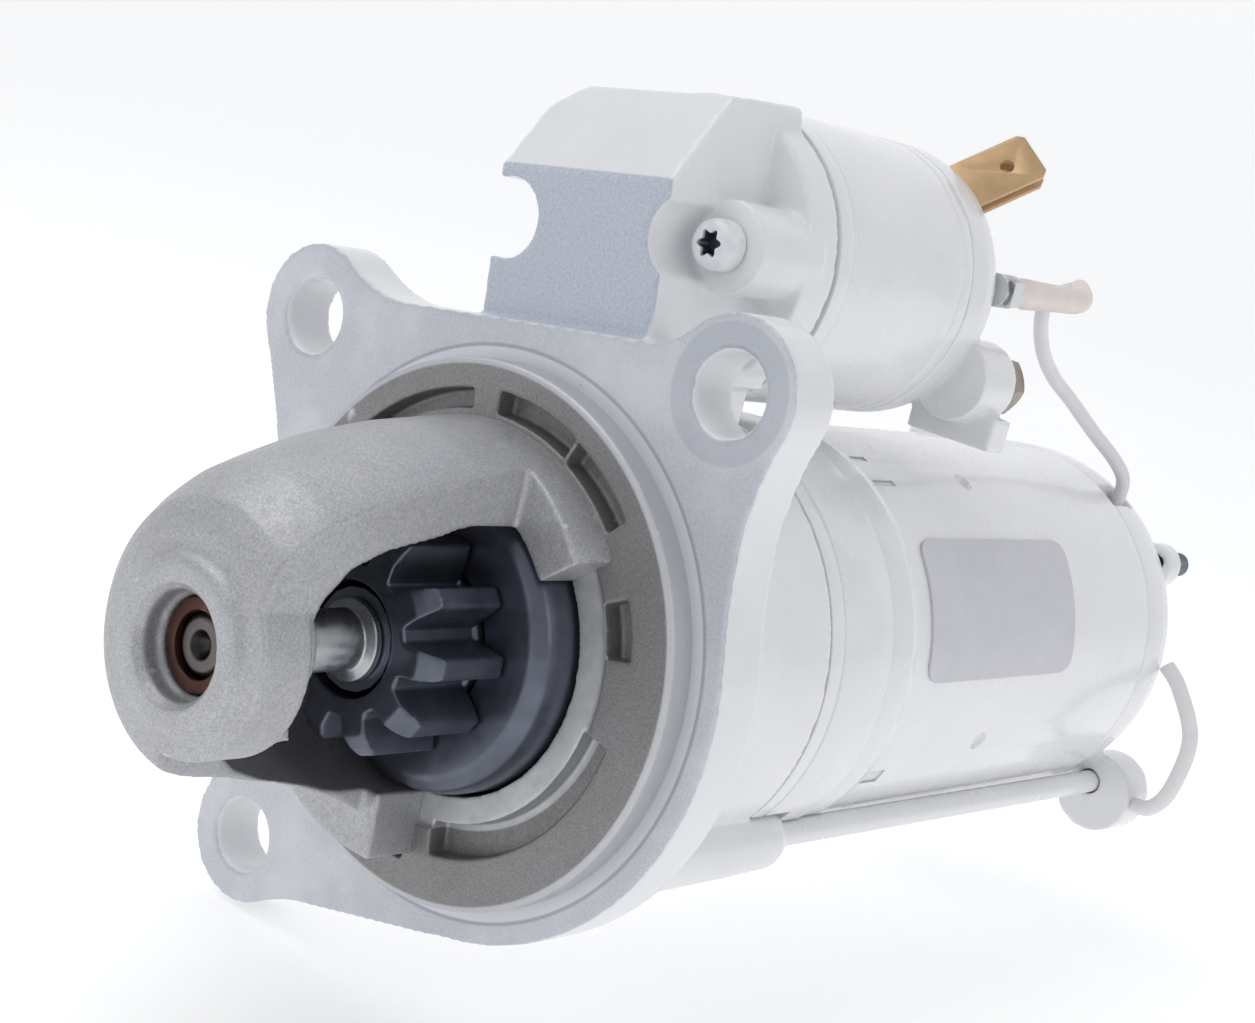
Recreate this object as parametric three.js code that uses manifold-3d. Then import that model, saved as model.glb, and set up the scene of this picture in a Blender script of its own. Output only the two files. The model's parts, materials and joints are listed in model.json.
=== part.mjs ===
// A planetary starter motor with its solenoid, shift lever, overrunning clutch and pinion.
// Frame: millimetres. The origin is on the pinion shaft's axis, in the plane of the flange's
// mounting face. +Y runs along the shaft towards the rear cover, the nose points to -Y, and +Z
// runs from the shaft to the solenoid, which lies above the motor.
import * as THREE from 'three';
import { mergeVertices } from 'three/addons/utils/BufferGeometryUtils.js';
import Module from 'manifold-3d';

const wasm = await Module();
wasm.setup();

// ---- driving dimensions ----
const GAP = 0.3; // clearance between pieces that touch
const FAR = 150; // longer than anything that is cut

const FLANGE_THICK = 10;
const BOLT_HOLE_R = 6.4;
const LOBE_R = 12.2;
const RIGHT_HOLE = [37, 50.8];
const LEFT_HOLE = [-52, 39.7];
const LOW_HOLE = [-41, -52.4];
const RIM_R = 50.4;
const SPIGOT_R = 44.5;
const SPIGOT_FRONT = -5;
const NOSE_TIP = -62;
const CAP_BACK = -50.6; // inner face of the nose's front wall
const NECK_R = 16.5;
const UPPER_CUT_X = 13.5; // the nose wall stops here above the shaft
const LOWER_CUT_X = -1; // and here below it
const PINION_BORE_R = 26; // bore that the clutch drum runs in
const DRIVE_CAVITY_R = 34;
const LEVER_CAVITY_R = 36;
const BARREL_R = 39.7;
const BARREL_END = 45.2;

const SOLENOID_Z = 67.7;
const SOLENOID_FACE = 37;
const SOLENOID_R = 24.9;
const CAN_END = 80;
const CAP_END = 96;
const SCREW_X = 18; // the solenoid's two screws, beside its axis
const SCREW_SEATS = { right: 15.8, left: 24 }; // the left screw sits deeper in its tunnel
const LEVER_TILT = THREE.MathUtils.degToRad(8); // lever housing and screws, about the solenoid

const YOKE_R = 38.3;
const YOKE_START = 65.3;
const YOKE_END = 167.6;
const COVER_END = 190;
const REAR_STUD = [26, 20];

const ROD_POS = 29.03; // tie rods, left-up and right-down
const ROD_R = 2.4;

const SHAFT_R = 6.5;
const JOURNAL_R = 4.8;
const PIVOT = [0, 23, 40]; // shift lever pivot

const MODULE = 1.4; // planetary gear
const SUN_TEETH = 12;
const PLANET_TEETH = 15;
const RING_TEETH = 42;
const PLANET_ORBIT = (MODULE * (SUN_TEETH + PLANET_TEETH)) / 2;
const GEAR_START = 50.5;
const GEAR_END = 62;

// ---- colours ----
const PAINT = { color: 0xe9eaec, roughness: 0.35, metalness: 0 };
const CAST = { color: 0xa3a09d, roughness: 0.6, metalness: 0.8 };
const STEEL = { color: 0x8a8d92, roughness: 0.35, metalness: 1 };
const DARK_STEEL = { color: 0x3a3f48, roughness: 0.45, metalness: 1 };
const COPPER = { color: 0xb87040, roughness: 0.35, metalness: 1 };
const BRONZE = { color: 0x8c5a3a, roughness: 0.5, metalness: 1 };
const BLACK = { color: 0x1c1c1e, roughness: 0.7, metalness: 0 };
const AMBER = { color: 0xd2a06a, roughness: 0.4, metalness: 0.8 };
const LABEL = { color: 0xc8c6cc, roughness: 0.5, metalness: 0 };
const MAGNET = { color: 0x4a4a4c, roughness: 0.8, metalness: 0.2 };
const CARBON = { color: 0x2c2a29, roughness: 0.7, metalness: 0.2 };

const starter = new THREE.Group();

// ---- solids ----
function toSolid(geometry) {
  const bare = new THREE.BufferGeometry();
  bare.setAttribute('position', geometry.getAttribute('position'));
  if (geometry.index) bare.setIndex(geometry.index);
  const merged = mergeVertices(bare, 1e-4);
  const vertProperties = new Float32Array(merged.getAttribute('position').array);
  const triVerts = new Uint32Array(merged.index.array);
  return new wasm.Manifold(new wasm.Mesh({ numProp: 3, vertProperties, triVerts }));
}

function toGeometry(solid) {
  const mesh = solid.getMesh();
  const geometry = new THREE.BufferGeometry();
  geometry.setAttribute('position', new THREE.BufferAttribute(mesh.vertProperties, 3));
  geometry.setIndex(new THREE.BufferAttribute(mesh.triVerts, 1));
  geometry.computeVertexNormals();
  return geometry;
}

// How many flat faces a round piece of this radius is drawn with.
function facets(radius) {
  return 4 * Math.round(2.6 + radius / 7);
}

// A solid turned about the Y axis through (x, z): [radius, y] pairs, up the outside first.
function turned(profile, x = 0, z = 0) {
  const points = profile.map(([r, y]) => new THREE.Vector2(r, y));
  const widest = Math.max(...profile.map(([r]) => r));
  const closed = profile[0][0] === 0 && profile[profile.length - 1][0] === 0;
  if (!closed) points.push(points[0].clone());
  const geometry = new THREE.LatheGeometry(points, facets(widest));
  geometry.translate(x, 0, z);
  return toSolid(geometry);
}

// A bar along Y with a given number of sides.
function prism(radius, sides, y0, y1, x = 0, z = 0) {
  const geometry = new THREE.CylinderGeometry(radius, radius, y1 - y0, sides);
  geometry.translate(x, (y0 + y1) / 2, z);
  return toSolid(geometry);
}

// A round bar or bore along Y.
function disc(radius, y0, y1, x = 0, z = 0) {
  return prism(radius, facets(radius), y0, y1, x, z);
}

function tube(outer, inner, y0, y1, x = 0, z = 0) {
  return turned([[outer, y0], [outer, y1], [inner, y1], [inner, y0]], x, z);
}

// A plate: a shape drawn in X and Z, from y0 to y1.
function plate(shape, y0, y1, curveSegments = 6) {
  const settings = { depth: y1 - y0, bevelEnabled: false, curveSegments };
  const geometry = new THREE.ExtrudeGeometry(shape, settings);
  geometry.rotateX(Math.PI / 2);
  geometry.translate(0, y1, 0);
  return toSolid(geometry);
}

function polygon(points) {
  return new THREE.Shape(points.map(([x, z]) => new THREE.Vector2(x, z)));
}

function block(x0, x1, y0, y1, z0, z1) {
  const geometry = new THREE.BoxGeometry(x1 - x0, y1 - y0, z1 - z0);
  geometry.translate((x0 + x1) / 2, (y0 + y1) / 2, (z0 + z1) / 2);
  return toSolid(geometry);
}

// A bar along X.
function crossBar(radius, x0, x1, y, z) {
  const geometry = new THREE.CylinderGeometry(radius, radius, x1 - x0, facets(radius));
  geometry.rotateZ(-Math.PI / 2);
  geometry.translate((x0 + x1) / 2, y, z);
  return toSolid(geometry);
}

// A sector of a ring in X and Z, from angle a0 to a1 in degrees.
function sector(outer, inner, a0, a1) {
  const from = THREE.MathUtils.degToRad(a0);
  const to = THREE.MathUtils.degToRad(a1);
  const shape = new THREE.Shape();
  shape.absarc(0, 0, outer, from, to, false);
  shape.absarc(0, 0, inner, to, from, true);
  shape.closePath();
  return shape;
}

// Turns a solid about the solenoid's axis by the lever housing's tilt.
function tilted(solid) {
  const geometry = toGeometry(solid);
  geometry.translate(0, 0, -SOLENOID_Z);
  geometry.rotateY(-LEVER_TILT);
  geometry.translate(0, 0, SOLENOID_Z);
  return toSolid(geometry);
}

// A round wire or tube along a route of [x, y, z] points.
function wire(points, radius, steps) {
  const path = new THREE.CatmullRomCurve3(points.map((p) => new THREE.Vector3(...p)));
  const section = new THREE.Shape();
  section.absarc(0, 0, radius, 0, Math.PI * 2, false);
  const settings = { steps, extrudePath: path, bevelEnabled: false, curveSegments: 3 };
  return toSolid(new THREE.ExtrudeGeometry(section, settings));
}

// A hexagonal nut or head along Y, across flats.
function hexagon(acrossFlats, y0, y1, x = 0, z = 0) {
  return prism(acrossFlats / Math.sqrt(3), 6, y0, y1, x, z);
}

function add(name, solid, finish, parent = starter) {
  const mesh = new THREE.Mesh(toGeometry(solid), new THREE.MeshStandardMaterial(finish));
  mesh.name = name;
  parent.add(mesh);
}

// A spur gear's outline; the teeth are slimmer than their gaps, for backlash.
function gearOutline(teeth, tooth, tip, root, phase = 0) {
  const pitch = (Math.PI * 2) / teeth;
  const shape = new THREE.Shape();
  for (let i = 0; i < teeth; i += 1) {
    const centre = phase + i * pitch;
    const corners = [[root, -tooth.root], [tip, -tooth.tip], [tip, tooth.tip], [root, tooth.root]];
    corners.forEach(([radius, share], j) => {
      const angle = centre + share * pitch;
      const x = radius * Math.cos(angle);
      const z = radius * Math.sin(angle);
      if (i === 0 && j === 0) shape.moveTo(x, z);
      else shape.lineTo(x, z);
    });
  }
  shape.closePath();
  return shape;
}

// ---- drive end housing: flange, spigot, nose and lever housing in one casting ----
function polar([x, z], radius, degrees) {
  const angle = THREE.MathUtils.degToRad(degrees);
  return [x + radius * Math.cos(angle), z + radius * Math.sin(angle)];
}

// Carries an outline on round a centre from one angle to another, after a smooth lead-in.
function lobe(shape, centre, radius, from, to, pull) {
  const [x, z] = polar(centre, radius, from);
  const last = shape.currentPoint;
  const [tx, tz] = polar([0, 0], pull.end, from - 90);
  shape.bezierCurveTo(last.x + pull.start[0], last.y + pull.start[1], x + tx, z + tz, x, z);
  const a0 = THREE.MathUtils.degToRad(from);
  const a1 = THREE.MathUtils.degToRad(to);
  shape.absarc(centre[0], centre[1], radius, a0, a1, false);
}

function flangeOutline() {
  const shape = new THREE.Shape();
  shape.moveTo(...polar([0, 0], RIM_R, -80));
  shape.absarc(0, 0, RIM_R, THREE.MathUtils.degToRad(-80), THREE.MathUtils.degToRad(14), false);
  lobe(shape, RIGHT_HOLE, LOBE_R, -20, 138, { start: [-3.6, 14.6], end: 10 });
  shape.bezierCurveTo(23.2, 53.8, 20.4, 54.3, 14.5, 53.5);
  shape.lineTo(-30.4, 47.3);
  lobe(shape, LEFT_HOLE, LOBE_R, 62, 208, { start: [-5, -0.7], end: 7 });
  lobe(shape, [0, 0], RIM_R, 182, 205, { start: [4.7, -8.8], end: 16 });
  lobe(shape, LOW_HOLE, LOBE_R, 168, 300, { start: [3.4, -7.2], end: 10 });
  shape.bezierCurveTo(-31, -60.7, -28, -59, -23.5, -57.9);
  shape.lineTo(0, -52);
  shape.quadraticCurveTo(4.6, -50.9, ...polar([0, 0], RIM_R, -80));
  return shape;
}

// The nose's outside: [y, radius, drop of its centre below or lift above the shaft].
const NOSE_RINGS = [
  [-62, 12.2, 0], [-61, 15.6, -0.3], [-59.6, 18.6, 0], [-57.5, 20.7, 0.8], [-54, 22.5, 1.6],
  [-50, 23.9, 2.5], [-45, 25, 3.2], [-40, 26.3, 3.5], [-35, 27.4, 3.9], [-30, 28.5, 3.8],
  [-22, 30.4, 3.3], [-14, 32.4, 2.1], [-4, 35.5, 0],
];
const NOSE_LEAN = THREE.MathUtils.degToRad(100); // direction of that lift

function noseOutside() {
  const points = NOSE_RINGS.map(([y, radius]) => new THREE.Vector2(radius, y));
  points.unshift(new THREE.Vector2(0, NOSE_TIP));
  points.push(new THREE.Vector2(0, -4));
  const geometry = new THREE.LatheGeometry(points, facets(RIM_R));
  const position = geometry.getAttribute('position');
  for (let i = 0; i < position.count; i += 1) {
    const ring = NOSE_RINGS.find(([y]) => Math.abs(y - position.getY(i)) < 0.01);
    position.setX(i, position.getX(i) + ring[2] * Math.cos(NOSE_LEAN));
    position.setZ(i, position.getZ(i) + ring[2] * Math.sin(NOSE_LEAN));
  }
  return toSolid(geometry);
}

function nose() {
  const cavity = turned([
    [0, CAP_BACK], [13, CAP_BACK], [17, -48.4], [20.5, -44], [22.6, -38], [24.4, -28],
    [25.4, -24.5], [PINION_BORE_R, -20.5], [PINION_BORE_R, -3.9], [0, -3.9],
  ]);
  const reach = [[FAR, FAR], [FAR, -FAR], [LOWER_CUT_X, -FAR], [LOWER_CUT_X, -10]];
  const side = polygon([[UPPER_CUT_X, FAR], ...reach, [UPPER_CUT_X, -10]].reverse());
  const window = plate(side, CAP_BACK, -12);
  const flank = plate(side, NOSE_TIP - 1, CAP_BACK + 0.01).subtract(disc(NECK_R, -70, -40));
  const base = plate(sector(60, 0.5, -86, 38), -12.01, -3.9);
  const boss = disc(9.5, CAP_BACK - 1, -43);
  const step = plate(sector(37, 25.5, -118, -86), -15, -3.9);
  return noseOutside().subtract(window).subtract(flank).subtract(base).add(step)
    .subtract(cavity).add(boss);
}

// Cored pockets in the spigot's face.
function spigotPockets() {
  const pockets = [
    [39.6, 36.4, 101, 138], [40, 36.2, 68, 93], [39.8, 35.8, 45, 67], [36.6, 31.9, 13, 28],
    [35.8, 30.4, -80, -9], [38.6, 37, -101, -89],
  ];
  return pockets.map(([outer, inner, a0, a1]) => plate(sector(outer, inner, a0, a1), -6, -1));
}

function screwSeat(side) {
  return side > 0 ? SCREW_SEATS.right : SCREW_SEATS.left;
}

function leverHousing() {
  const profile = polygon([[4, -22], [4, 8.1], [17, 23.2], [36, 24.4], [36, -22]]);
  const settings = { depth: 35.3, bevelEnabled: false };
  const geometry = new THREE.ExtrudeGeometry(profile, settings);
  // the profile holds y and height; it is swept along X
  const turn = new THREE.Matrix4().set(0, 0, 1, -20.5, 1, 0, 0, 0, 0, 1, 0, SOLENOID_Z, 0, 0, 0, 1);
  geometry.applyMatrix4(turn);
  const wedge = tilted(toSolid(geometry));
  const round = disc(SOLENOID_R + 3, 3, 40, 0, SOLENOID_Z);
  const collar = disc(SOLENOID_R, 29, SOLENOID_FACE, 0, SOLENOID_Z);
  const web = block(-17, 15, 4.02, 36, 30, 60);
  let housing = wedge.intersect(round).add(collar).add(web);
  for (const side of [-1, 1]) {
    const seat = screwSeat(side);
    const boss = tilted(disc(7.4, seat, 33, side * SCREW_X, SOLENOID_Z));
    const pocket = tilted(disc(6.6, 0, seat, side * SCREW_X, SOLENOID_Z));
    const screwHole = tilted(disc(2.9, 5, FAR, side * SCREW_X, SOLENOID_Z));
    housing = housing.add(boss).subtract(pocket).subtract(screwHole);
  }
  return housing;
}

function driveEndHousing() {
  const barrel = turned([
    [0, 9], [47, 9], [43.4, 13], [41.2, 20], [40, 30], [BARREL_R, BARREL_END], [0, BARREL_END],
  ]);
  const spigot = disc(SPIGOT_R, SPIGOT_FRONT, 1);
  let casting = plate(flangeOutline(), 0, FLANGE_THICK).add(spigot).add(barrel);
  for (const side of [-1, 1]) {
    casting = casting.add(disc(6, 9, 57, -side * ROD_POS, side * ROD_POS));
  }
  // the rod bosses reach over the gear housing, outside it only
  casting = casting.subtract(disc(34.8, BARREL_END, 60));
  casting = casting.add(leverHousing());
  casting = casting.subtract(disc(PINION_BORE_R, -6, 5));
  casting = casting.subtract(disc(31.7, SPIGOT_FRONT - 1, SPIGOT_FRONT + 0.8));
  for (const pocket of spigotPockets()) casting = casting.subtract(pocket);
  casting = casting.add(nose());
  casting = casting.subtract(disc(DRIVE_CAVITY_R, 4, BARREL_END + 0.01));
  casting = casting.subtract(disc(LEVER_CAVITY_R, 8, 33));
  casting = casting.subtract(block(-10, 10, 8, SOLENOID_FACE - 5, 25, 77));
  casting = casting.subtract(disc(12.5, 16, SOLENOID_FACE + 1, 0, SOLENOID_Z));
  for (const [x, z] of [RIGHT_HOLE, LEFT_HOLE, LOW_HOLE]) {
    casting = casting.subtract(disc(BOLT_HOLE_R, -5, 20, x, z));
  }
  for (const side of [-1, 1]) {
    const threaded = disc(ROD_R + GAP, 35, 60, -side * ROD_POS, side * ROD_POS);
    casting = casting.subtract(threaded);
  }
  casting = casting.subtract(disc(8, -63, -57.8)).subtract(disc(7 + GAP, -61, -42));
  casting = casting.subtract(crossBar(3.3, -14, 14, PIVOT[1], PIVOT[2]));
  return casting;
}
add('drive_end_housing', driveEndHousing(), PAINT);
add('nose_bush', tube(7, JOURNAL_R + 0.15, -57.6, -43.2), BRONZE);

// ---- output shaft with the planet carrier ----
function carrierAngle(index) {
  return Math.PI / 2 + (index * Math.PI * 2) / 3;
}

function outputShaft() {
  let shaft = turned([
    [0, -57], [JOURNAL_R - 1, -57], [JOURNAL_R, -56], [JOURNAL_R, -29], [SHAFT_R, -28.2],
    [SHAFT_R, 31], [8, 31.4], [8, 44.6], [26, 44.8], [26, 49.4], [0, 49.4],
  ]);
  shaft = shaft.subtract(disc(4.4, 47, 50));
  for (let i = 0; i < 3; i += 1) {
    const x = PLANET_ORBIT * Math.cos(carrierAngle(i));
    const z = PLANET_ORBIT * Math.sin(carrierAngle(i));
    shaft = shaft.add(disc(3, 46, GEAR_END, x, z));
  }
  return shaft.subtract(tube(SHAFT_R + 2, SHAFT_R - 0.8, -27, -25.6));
}
add('output_shaft', outputShaft(), STEEL);
add('stop_ring', tube(8.1, SHAFT_R - 0.5, -26.8, -25.8), DARK_STEEL);
add('bearing_plate', turned([
  [16, 33], [20, 36], [DRIVE_CAVITY_R - GAP, 36], [DRIVE_CAVITY_R - GAP, 44], [8.2, 44],
  [8.2, 33],
]), CAST);

// ---- planetary gear ----
const EXTERNAL_TOOTH = { root: 0.3, tip: 0.13 };

function spurGear(teeth, phase, bore, y0, y1) {
  const pitchR = (MODULE * teeth) / 2;
  const outline = gearOutline(teeth, EXTERNAL_TOOTH, pitchR + 0.85 * MODULE, pitchR - 1.2 * MODULE,
    phase);
  const gear = plate(outline, y0, y1);
  return bore ? gear.subtract(disc(bore, y0 - 1, y1 + 1)) : gear;
}

function shifted(solid, x, z) {
  const geometry = toGeometry(solid);
  geometry.translate(x, 0, z);
  return toSolid(geometry);
}

// A sun tooth's gap faces each planet tooth; the ring's gaps do the same outside.
for (let i = 0; i < 3; i += 1) {
  const angle = carrierAngle(i);
  const x = PLANET_ORBIT * Math.cos(angle);
  const z = PLANET_ORBIT * Math.sin(angle);
  const planet = spurGear(PLANET_TEETH, angle + Math.PI, 3.3, GEAR_START, GEAR_END);
  add(`planet_gear_${i + 1}`, shifted(planet, x, z), STEEL);
}

function ringGear() {
  const pitchR = (MODULE * RING_TEETH) / 2;
  const tip = pitchR - 0.85 * MODULE;
  const root = pitchR + 1.2 * MODULE;
  // opposite each planet tooth at the outside there is a gap, half a tooth from the sun side
  const half = PLANET_TEETH % 2 ? Math.PI / RING_TEETH : 0;
  const phase = Math.PI / 2 + Math.PI / RING_TEETH - half;
  const space = { root: 0.3, tip: 0.13 };
  const bore = gearOutline(RING_TEETH, { root: 0.5 - space.tip - 0.02, tip: 0.5 - space.root },
    root, tip, phase + half);
  const body = disc(34.4, GEAR_START - 1, GEAR_END + 1);
  return body.subtract(plate(bore, GEAR_START - 2, GEAR_END + 2));
}
add('ring_gear', ringGear(), BLACK);

function gearHousing() {
  let shell = turned([
    [BARREL_R - 0.1, BARREL_END + GAP], [BARREL_R - 0.1, 65], [9, 65], [9, 63.4], [34.8, 63.4],
    [34.8, BARREL_END + GAP],
  ]);
  for (const side of [-1, 1]) {
    const x = -side * ROD_POS;
    const z = side * ROD_POS;
    shell = shell.subtract(disc(6 + GAP, BARREL_END, 57 + GAP, x, z));
    shell = shell.subtract(disc(ROD_R + GAP, 50, 66, x, z));
  }
  return shell;
}
add('gear_housing', gearHousing(), PAINT);

// ---- pinion and overrunning clutch ----
const PINION_MODULE = 3;
const PINION_TEETH = 10;

function pinion() {
  const tip = (PINION_MODULE * (PINION_TEETH + 2)) / 2;
  const root = tip - 2.05 * PINION_MODULE;
  const pinionTooth = { root: 0.34, tip: 0.13 };
  const phase = THREE.MathUtils.degToRad(4);
  const outline = gearOutline(PINION_TEETH, pinionTooth, tip, root, phase);
  const chamfer = turned([[0, -28], [15.6, -28], [tip + 0.4, -26], [tip + 0.4, -12], [0, -12]]);
  const teeth = plate(outline, -28, -12).intersect(chamfer);
  const race = disc(12.4, -12.5, 9);
  return teeth.add(race).subtract(disc(SHAFT_R + 0.4, -29, 10))
    .subtract(disc(9, -29, -12.5));
}
add('pinion', pinion(), DARK_STEEL);

function clutchShell() {
  const shell = turned([
    [22.6, -11.6], [24.6, -10], [25.4, -7], [25.4, 11], [24, 12], [10.5, 12], [10.5, 29],
    [SHAFT_R + 0.35, 29], [SHAFT_R + 0.35, 9.4], [19.6, 9.4], [19.6, -9.6], [12.9, -9.6],
    [12.9, -11.6],
  ]);
  return shell;
}
add('clutch_shell', clutchShell(), DARK_STEEL);
const ROLLERS = 4;
for (let i = 0; i < ROLLERS; i += 1) {
  const angle = (i * Math.PI * 2) / ROLLERS;
  const roller = disc(3, -8, 8, 16 * Math.cos(angle), 16 * Math.sin(angle));
  add(`clutch_roller_${i + 1}`, roller, STEEL);
}

function coil(radius, wireR, y0, y1, turns, x, z) {
  const points = [];
  const stepsPerTurn = 8;
  for (let i = 0; i <= turns * stepsPerTurn; i += 1) {
    const angle = (i / stepsPerTurn) * Math.PI * 2;
    const y = y0 + wireR + ((y1 - y0 - 2 * wireR) * i) / (turns * stepsPerTurn);
    points.push([x + radius * Math.cos(angle), y, z + radius * Math.sin(angle)]);
  }
  return wire(points, wireR, turns * stepsPerTurn);
}
add('meshing_spring', coil(12.4, 0.8, 12.3, 17.7, 2, 0, 0), STEEL);
add('fork_ring_front', tube(19.5, 10.9, 18, 20), DARK_STEEL);
add('fork_ring_rear', tube(19.5, 10.9, 25.8, 27.4), DARK_STEEL);
add('collar_circlip', tube(12.4, 10.8, 27.7, 28.7), STEEL);

// ---- shift lever ----
function shiftLever() {
  const [, y, z] = PIVOT;
  const half = 1.8;
  let lever = block(-23.6, 23.6, y - half, y + half, 20.6, 24.4);
  lever = lever.add(block(-3.6, 3.6, y - half, y + half, 24, 64.4));
  lever = lever.add(crossBar(5.6, -3.6, 3.6, y, z)).add(crossBar(2.2, -3.6, 3.6, y, 64.4));
  for (const side of [-1, 1]) {
    const arm = side < 0 ? [-23.6, -20.6] : [20.6, 23.6];
    const pad = side < 0 ? [-21, -13.4] : [13.4, 21];
    lever = lever.add(block(...arm, y - half, y + half, -2.4, 24));
    lever = lever.add(crossBar(2.3, ...pad, y, 0));
  }
  return lever.subtract(crossBar(3.2, -5, 5, y, z));
}
add('shift_lever', shiftLever(), BLACK);
add('lever_pivot_pin', crossBar(3, -13.8, 13.8, PIVOT[1], PIVOT[2]), STEEL);

// ---- solenoid ----
function solenoidCan() {
  const can = turned([
    [SOLENOID_R + 0.3, SOLENOID_FACE + GAP], [SOLENOID_R + 0.3, 41], [SOLENOID_R, 41.6],
    [SOLENOID_R, CAN_END], [SOLENOID_R - 2, CAN_END], [SOLENOID_R - 2, 41], [9.6, 41],
    [9.6, SOLENOID_FACE + GAP],
  ], 0, SOLENOID_Z);
  let drilled = can;
  for (const side of [-1, 1]) {
    drilled = drilled.subtract(tilted(disc(2.9, 30, 42, side * SCREW_X, SOLENOID_Z)));
  }
  return drilled;
}
add('solenoid_can', solenoidCan(), PAINT);
add('solenoid_coil', tube(21.6, 11.4, 42.5, 76, 0, SOLENOID_Z), COPPER);
add('solenoid_core', turned([
  [9.4, 66], [9.4, 77.6], [22, 77.6], [22, 79.6], [3, 79.6], [3, 66],
], 0, SOLENOID_Z), STEEL);

// Plunger: its front end carries the slotted hook that the lever's tip sits in.
function plunger() {
  const body = turned([
    [0, 27], [5, 27], [5, 34], [9, 34.4], [9, 49.8], [0, 49.8],
  ], 0, SOLENOID_Z);
  return body.subtract(block(-6, 6, 17, 31.5, SOLENOID_Z - 6, SOLENOID_Z + 6))
    .add(block(-3.6, 3.6, 17, 19.6, 62, SOLENOID_Z + 3))
    .add(block(-3.6, 3.6, 17, 33, SOLENOID_Z, SOLENOID_Z + 3))
    .add(block(-3.6, 3.6, 26.4, 33, 62, SOLENOID_Z + 3));
}
add('plunger', plunger(), STEEL);
add('plunger_rod', disc(1.8, 50.1, 82.5, 0, SOLENOID_Z), STEEL);
add('contact_disc', tube(9, 2.1, 80.4, 82, 0, SOLENOID_Z), COPPER);
add('return_spring', coil(7.4, 0.7, 50.1, 65.6, 5, 0, SOLENOID_Z), STEEL);

const M_TERMINAL = [22, 54.5];
const BATTERY_TERMINAL = [-20, 60];
const CONTACT_Y = 90.2; // front face of the fixed contacts

// A terminal's fixed contact: a bar from the solenoid's axis out to the stud, made larger by grow.
function contactBar([x, z], grow) {
  const angle = THREE.MathUtils.radToDeg(Math.atan2(z - SOLENOID_Z, x));
  const spread = 10 + grow * 2;
  const bar = plate(sector(27 + grow, 6, angle - spread, angle + spread), CONTACT_Y - grow,
    CONTACT_Y + 1.8 + grow, 2);
  return shifted(bar, 0, SOLENOID_Z);
}

function solenoidCap() {
  let cap = turned([
    [SOLENOID_R, CAN_END + GAP], [SOLENOID_R, 86], [23.6, 90.5], [20, 94.6], [15, CAP_END],
    [0, CAP_END], [0, 93.5], [17, 93.5], [21.4, 88], [21.4, CAN_END + GAP],
  ], 0, SOLENOID_Z);
  const [x, z] = M_TERMINAL;
  cap = cap.add(disc(7.6, 86, 97, x, z).subtract(disc(20, 80, 93, 0, SOLENOID_Z)));
  cap = cap.add(block(13, 31, 90.5, 96.4, 43.4, 49.4));
  const [bx, bz] = BATTERY_TERMINAL;
  cap = cap.add(disc(7, 88, 97, bx, bz).subtract(disc(20, 80, 93, 0, SOLENOID_Z)));
  cap = cap.subtract(contactBar(M_TERMINAL, GAP)).subtract(contactBar(BATTERY_TERMINAL, GAP));
  return cap.subtract(disc(3.3, CONTACT_Y, 99, x, z)).subtract(disc(4.3, CONTACT_Y, 99, bx, bz));
}
add('solenoid_cap', solenoidCap(), PAINT);

function terminal(radius, end, place) {
  return contactBar(place, 0).add(disc(radius, CONTACT_Y + 1, end, ...place));
}
add('motor_terminal', terminal(3, 108, M_TERMINAL), COPPER);
add('motor_terminal_nut', hexagon(10, 100.2, 104.6, ...M_TERMINAL)
  .subtract(disc(3 + GAP, 98, 110, ...M_TERMINAL)), STEEL);
add('battery_terminal', terminal(4, 113, BATTERY_TERMINAL), COPPER);
add('battery_terminal_nut', hexagon(13, 97.4, 103, ...BATTERY_TERMINAL)
  .subtract(disc(4 + GAP, 95, 120, ...BATTERY_TERMINAL)), STEEL);

// Twin-blade spade terminal, which leans back from the cap's upper edge.
function spadeTerminal() {
  const blade = new THREE.Shape();
  blade.moveTo(-4.9, -3.5);
  blade.lineTo(4.9, -3.5);
  blade.lineTo(4.9, 12);
  blade.lineTo(3.9, 13.2);
  blade.lineTo(-3.9, 13.2);
  blade.lineTo(-4.9, 12);
  blade.closePath();
  const hole = new THREE.Path();
  hole.absarc(0, 7.2, 1.3, 0, Math.PI * 2, true);
  blade.holes.push(hole);
  const settings = { depth: 1, bevelEnabled: false, curveSegments: 5 };
  const sheets = [0, -3.2].map((offset) => {
    const sheet = new THREE.ExtrudeGeometry(blade, settings);
    sheet.translate(0, 0, offset);
    return toSolid(sheet);
  });
  const foot = new THREE.BoxGeometry(9.8, 2.6, 4.2);
  foot.translate(0, -2.6, -1.1);
  const solid = sheets[0].add(sheets[1]).add(toSolid(foot));
  const geometry = toGeometry(solid);
  const across = new THREE.Vector3(0.8, 0, -0.6);
  const along = new THREE.Vector3(0.42, 0.68, 0.6);
  along.addScaledVector(across, -along.dot(across)).normalize();
  const normal = new THREE.Vector3().crossVectors(across, along);
  geometry.applyMatrix4(new THREE.Matrix4().makeBasis(across, along, normal));
  geometry.translate(11.8, 91.8, 88.6);
  return toSolid(geometry).subtract(solenoidCapHull());
}

function solenoidCapHull() {
  return turned([
    [0, CAN_END - 10], [SOLENOID_R + GAP, CAN_END - 10], [SOLENOID_R + GAP, 86.1],
    [23.8, 90.8], [20.2, 94.9], [15, CAP_END + GAP], [0, CAP_END + GAP],
  ], 0, SOLENOID_Z);
}
add('spade_terminal', spadeTerminal(), AMBER);

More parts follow.
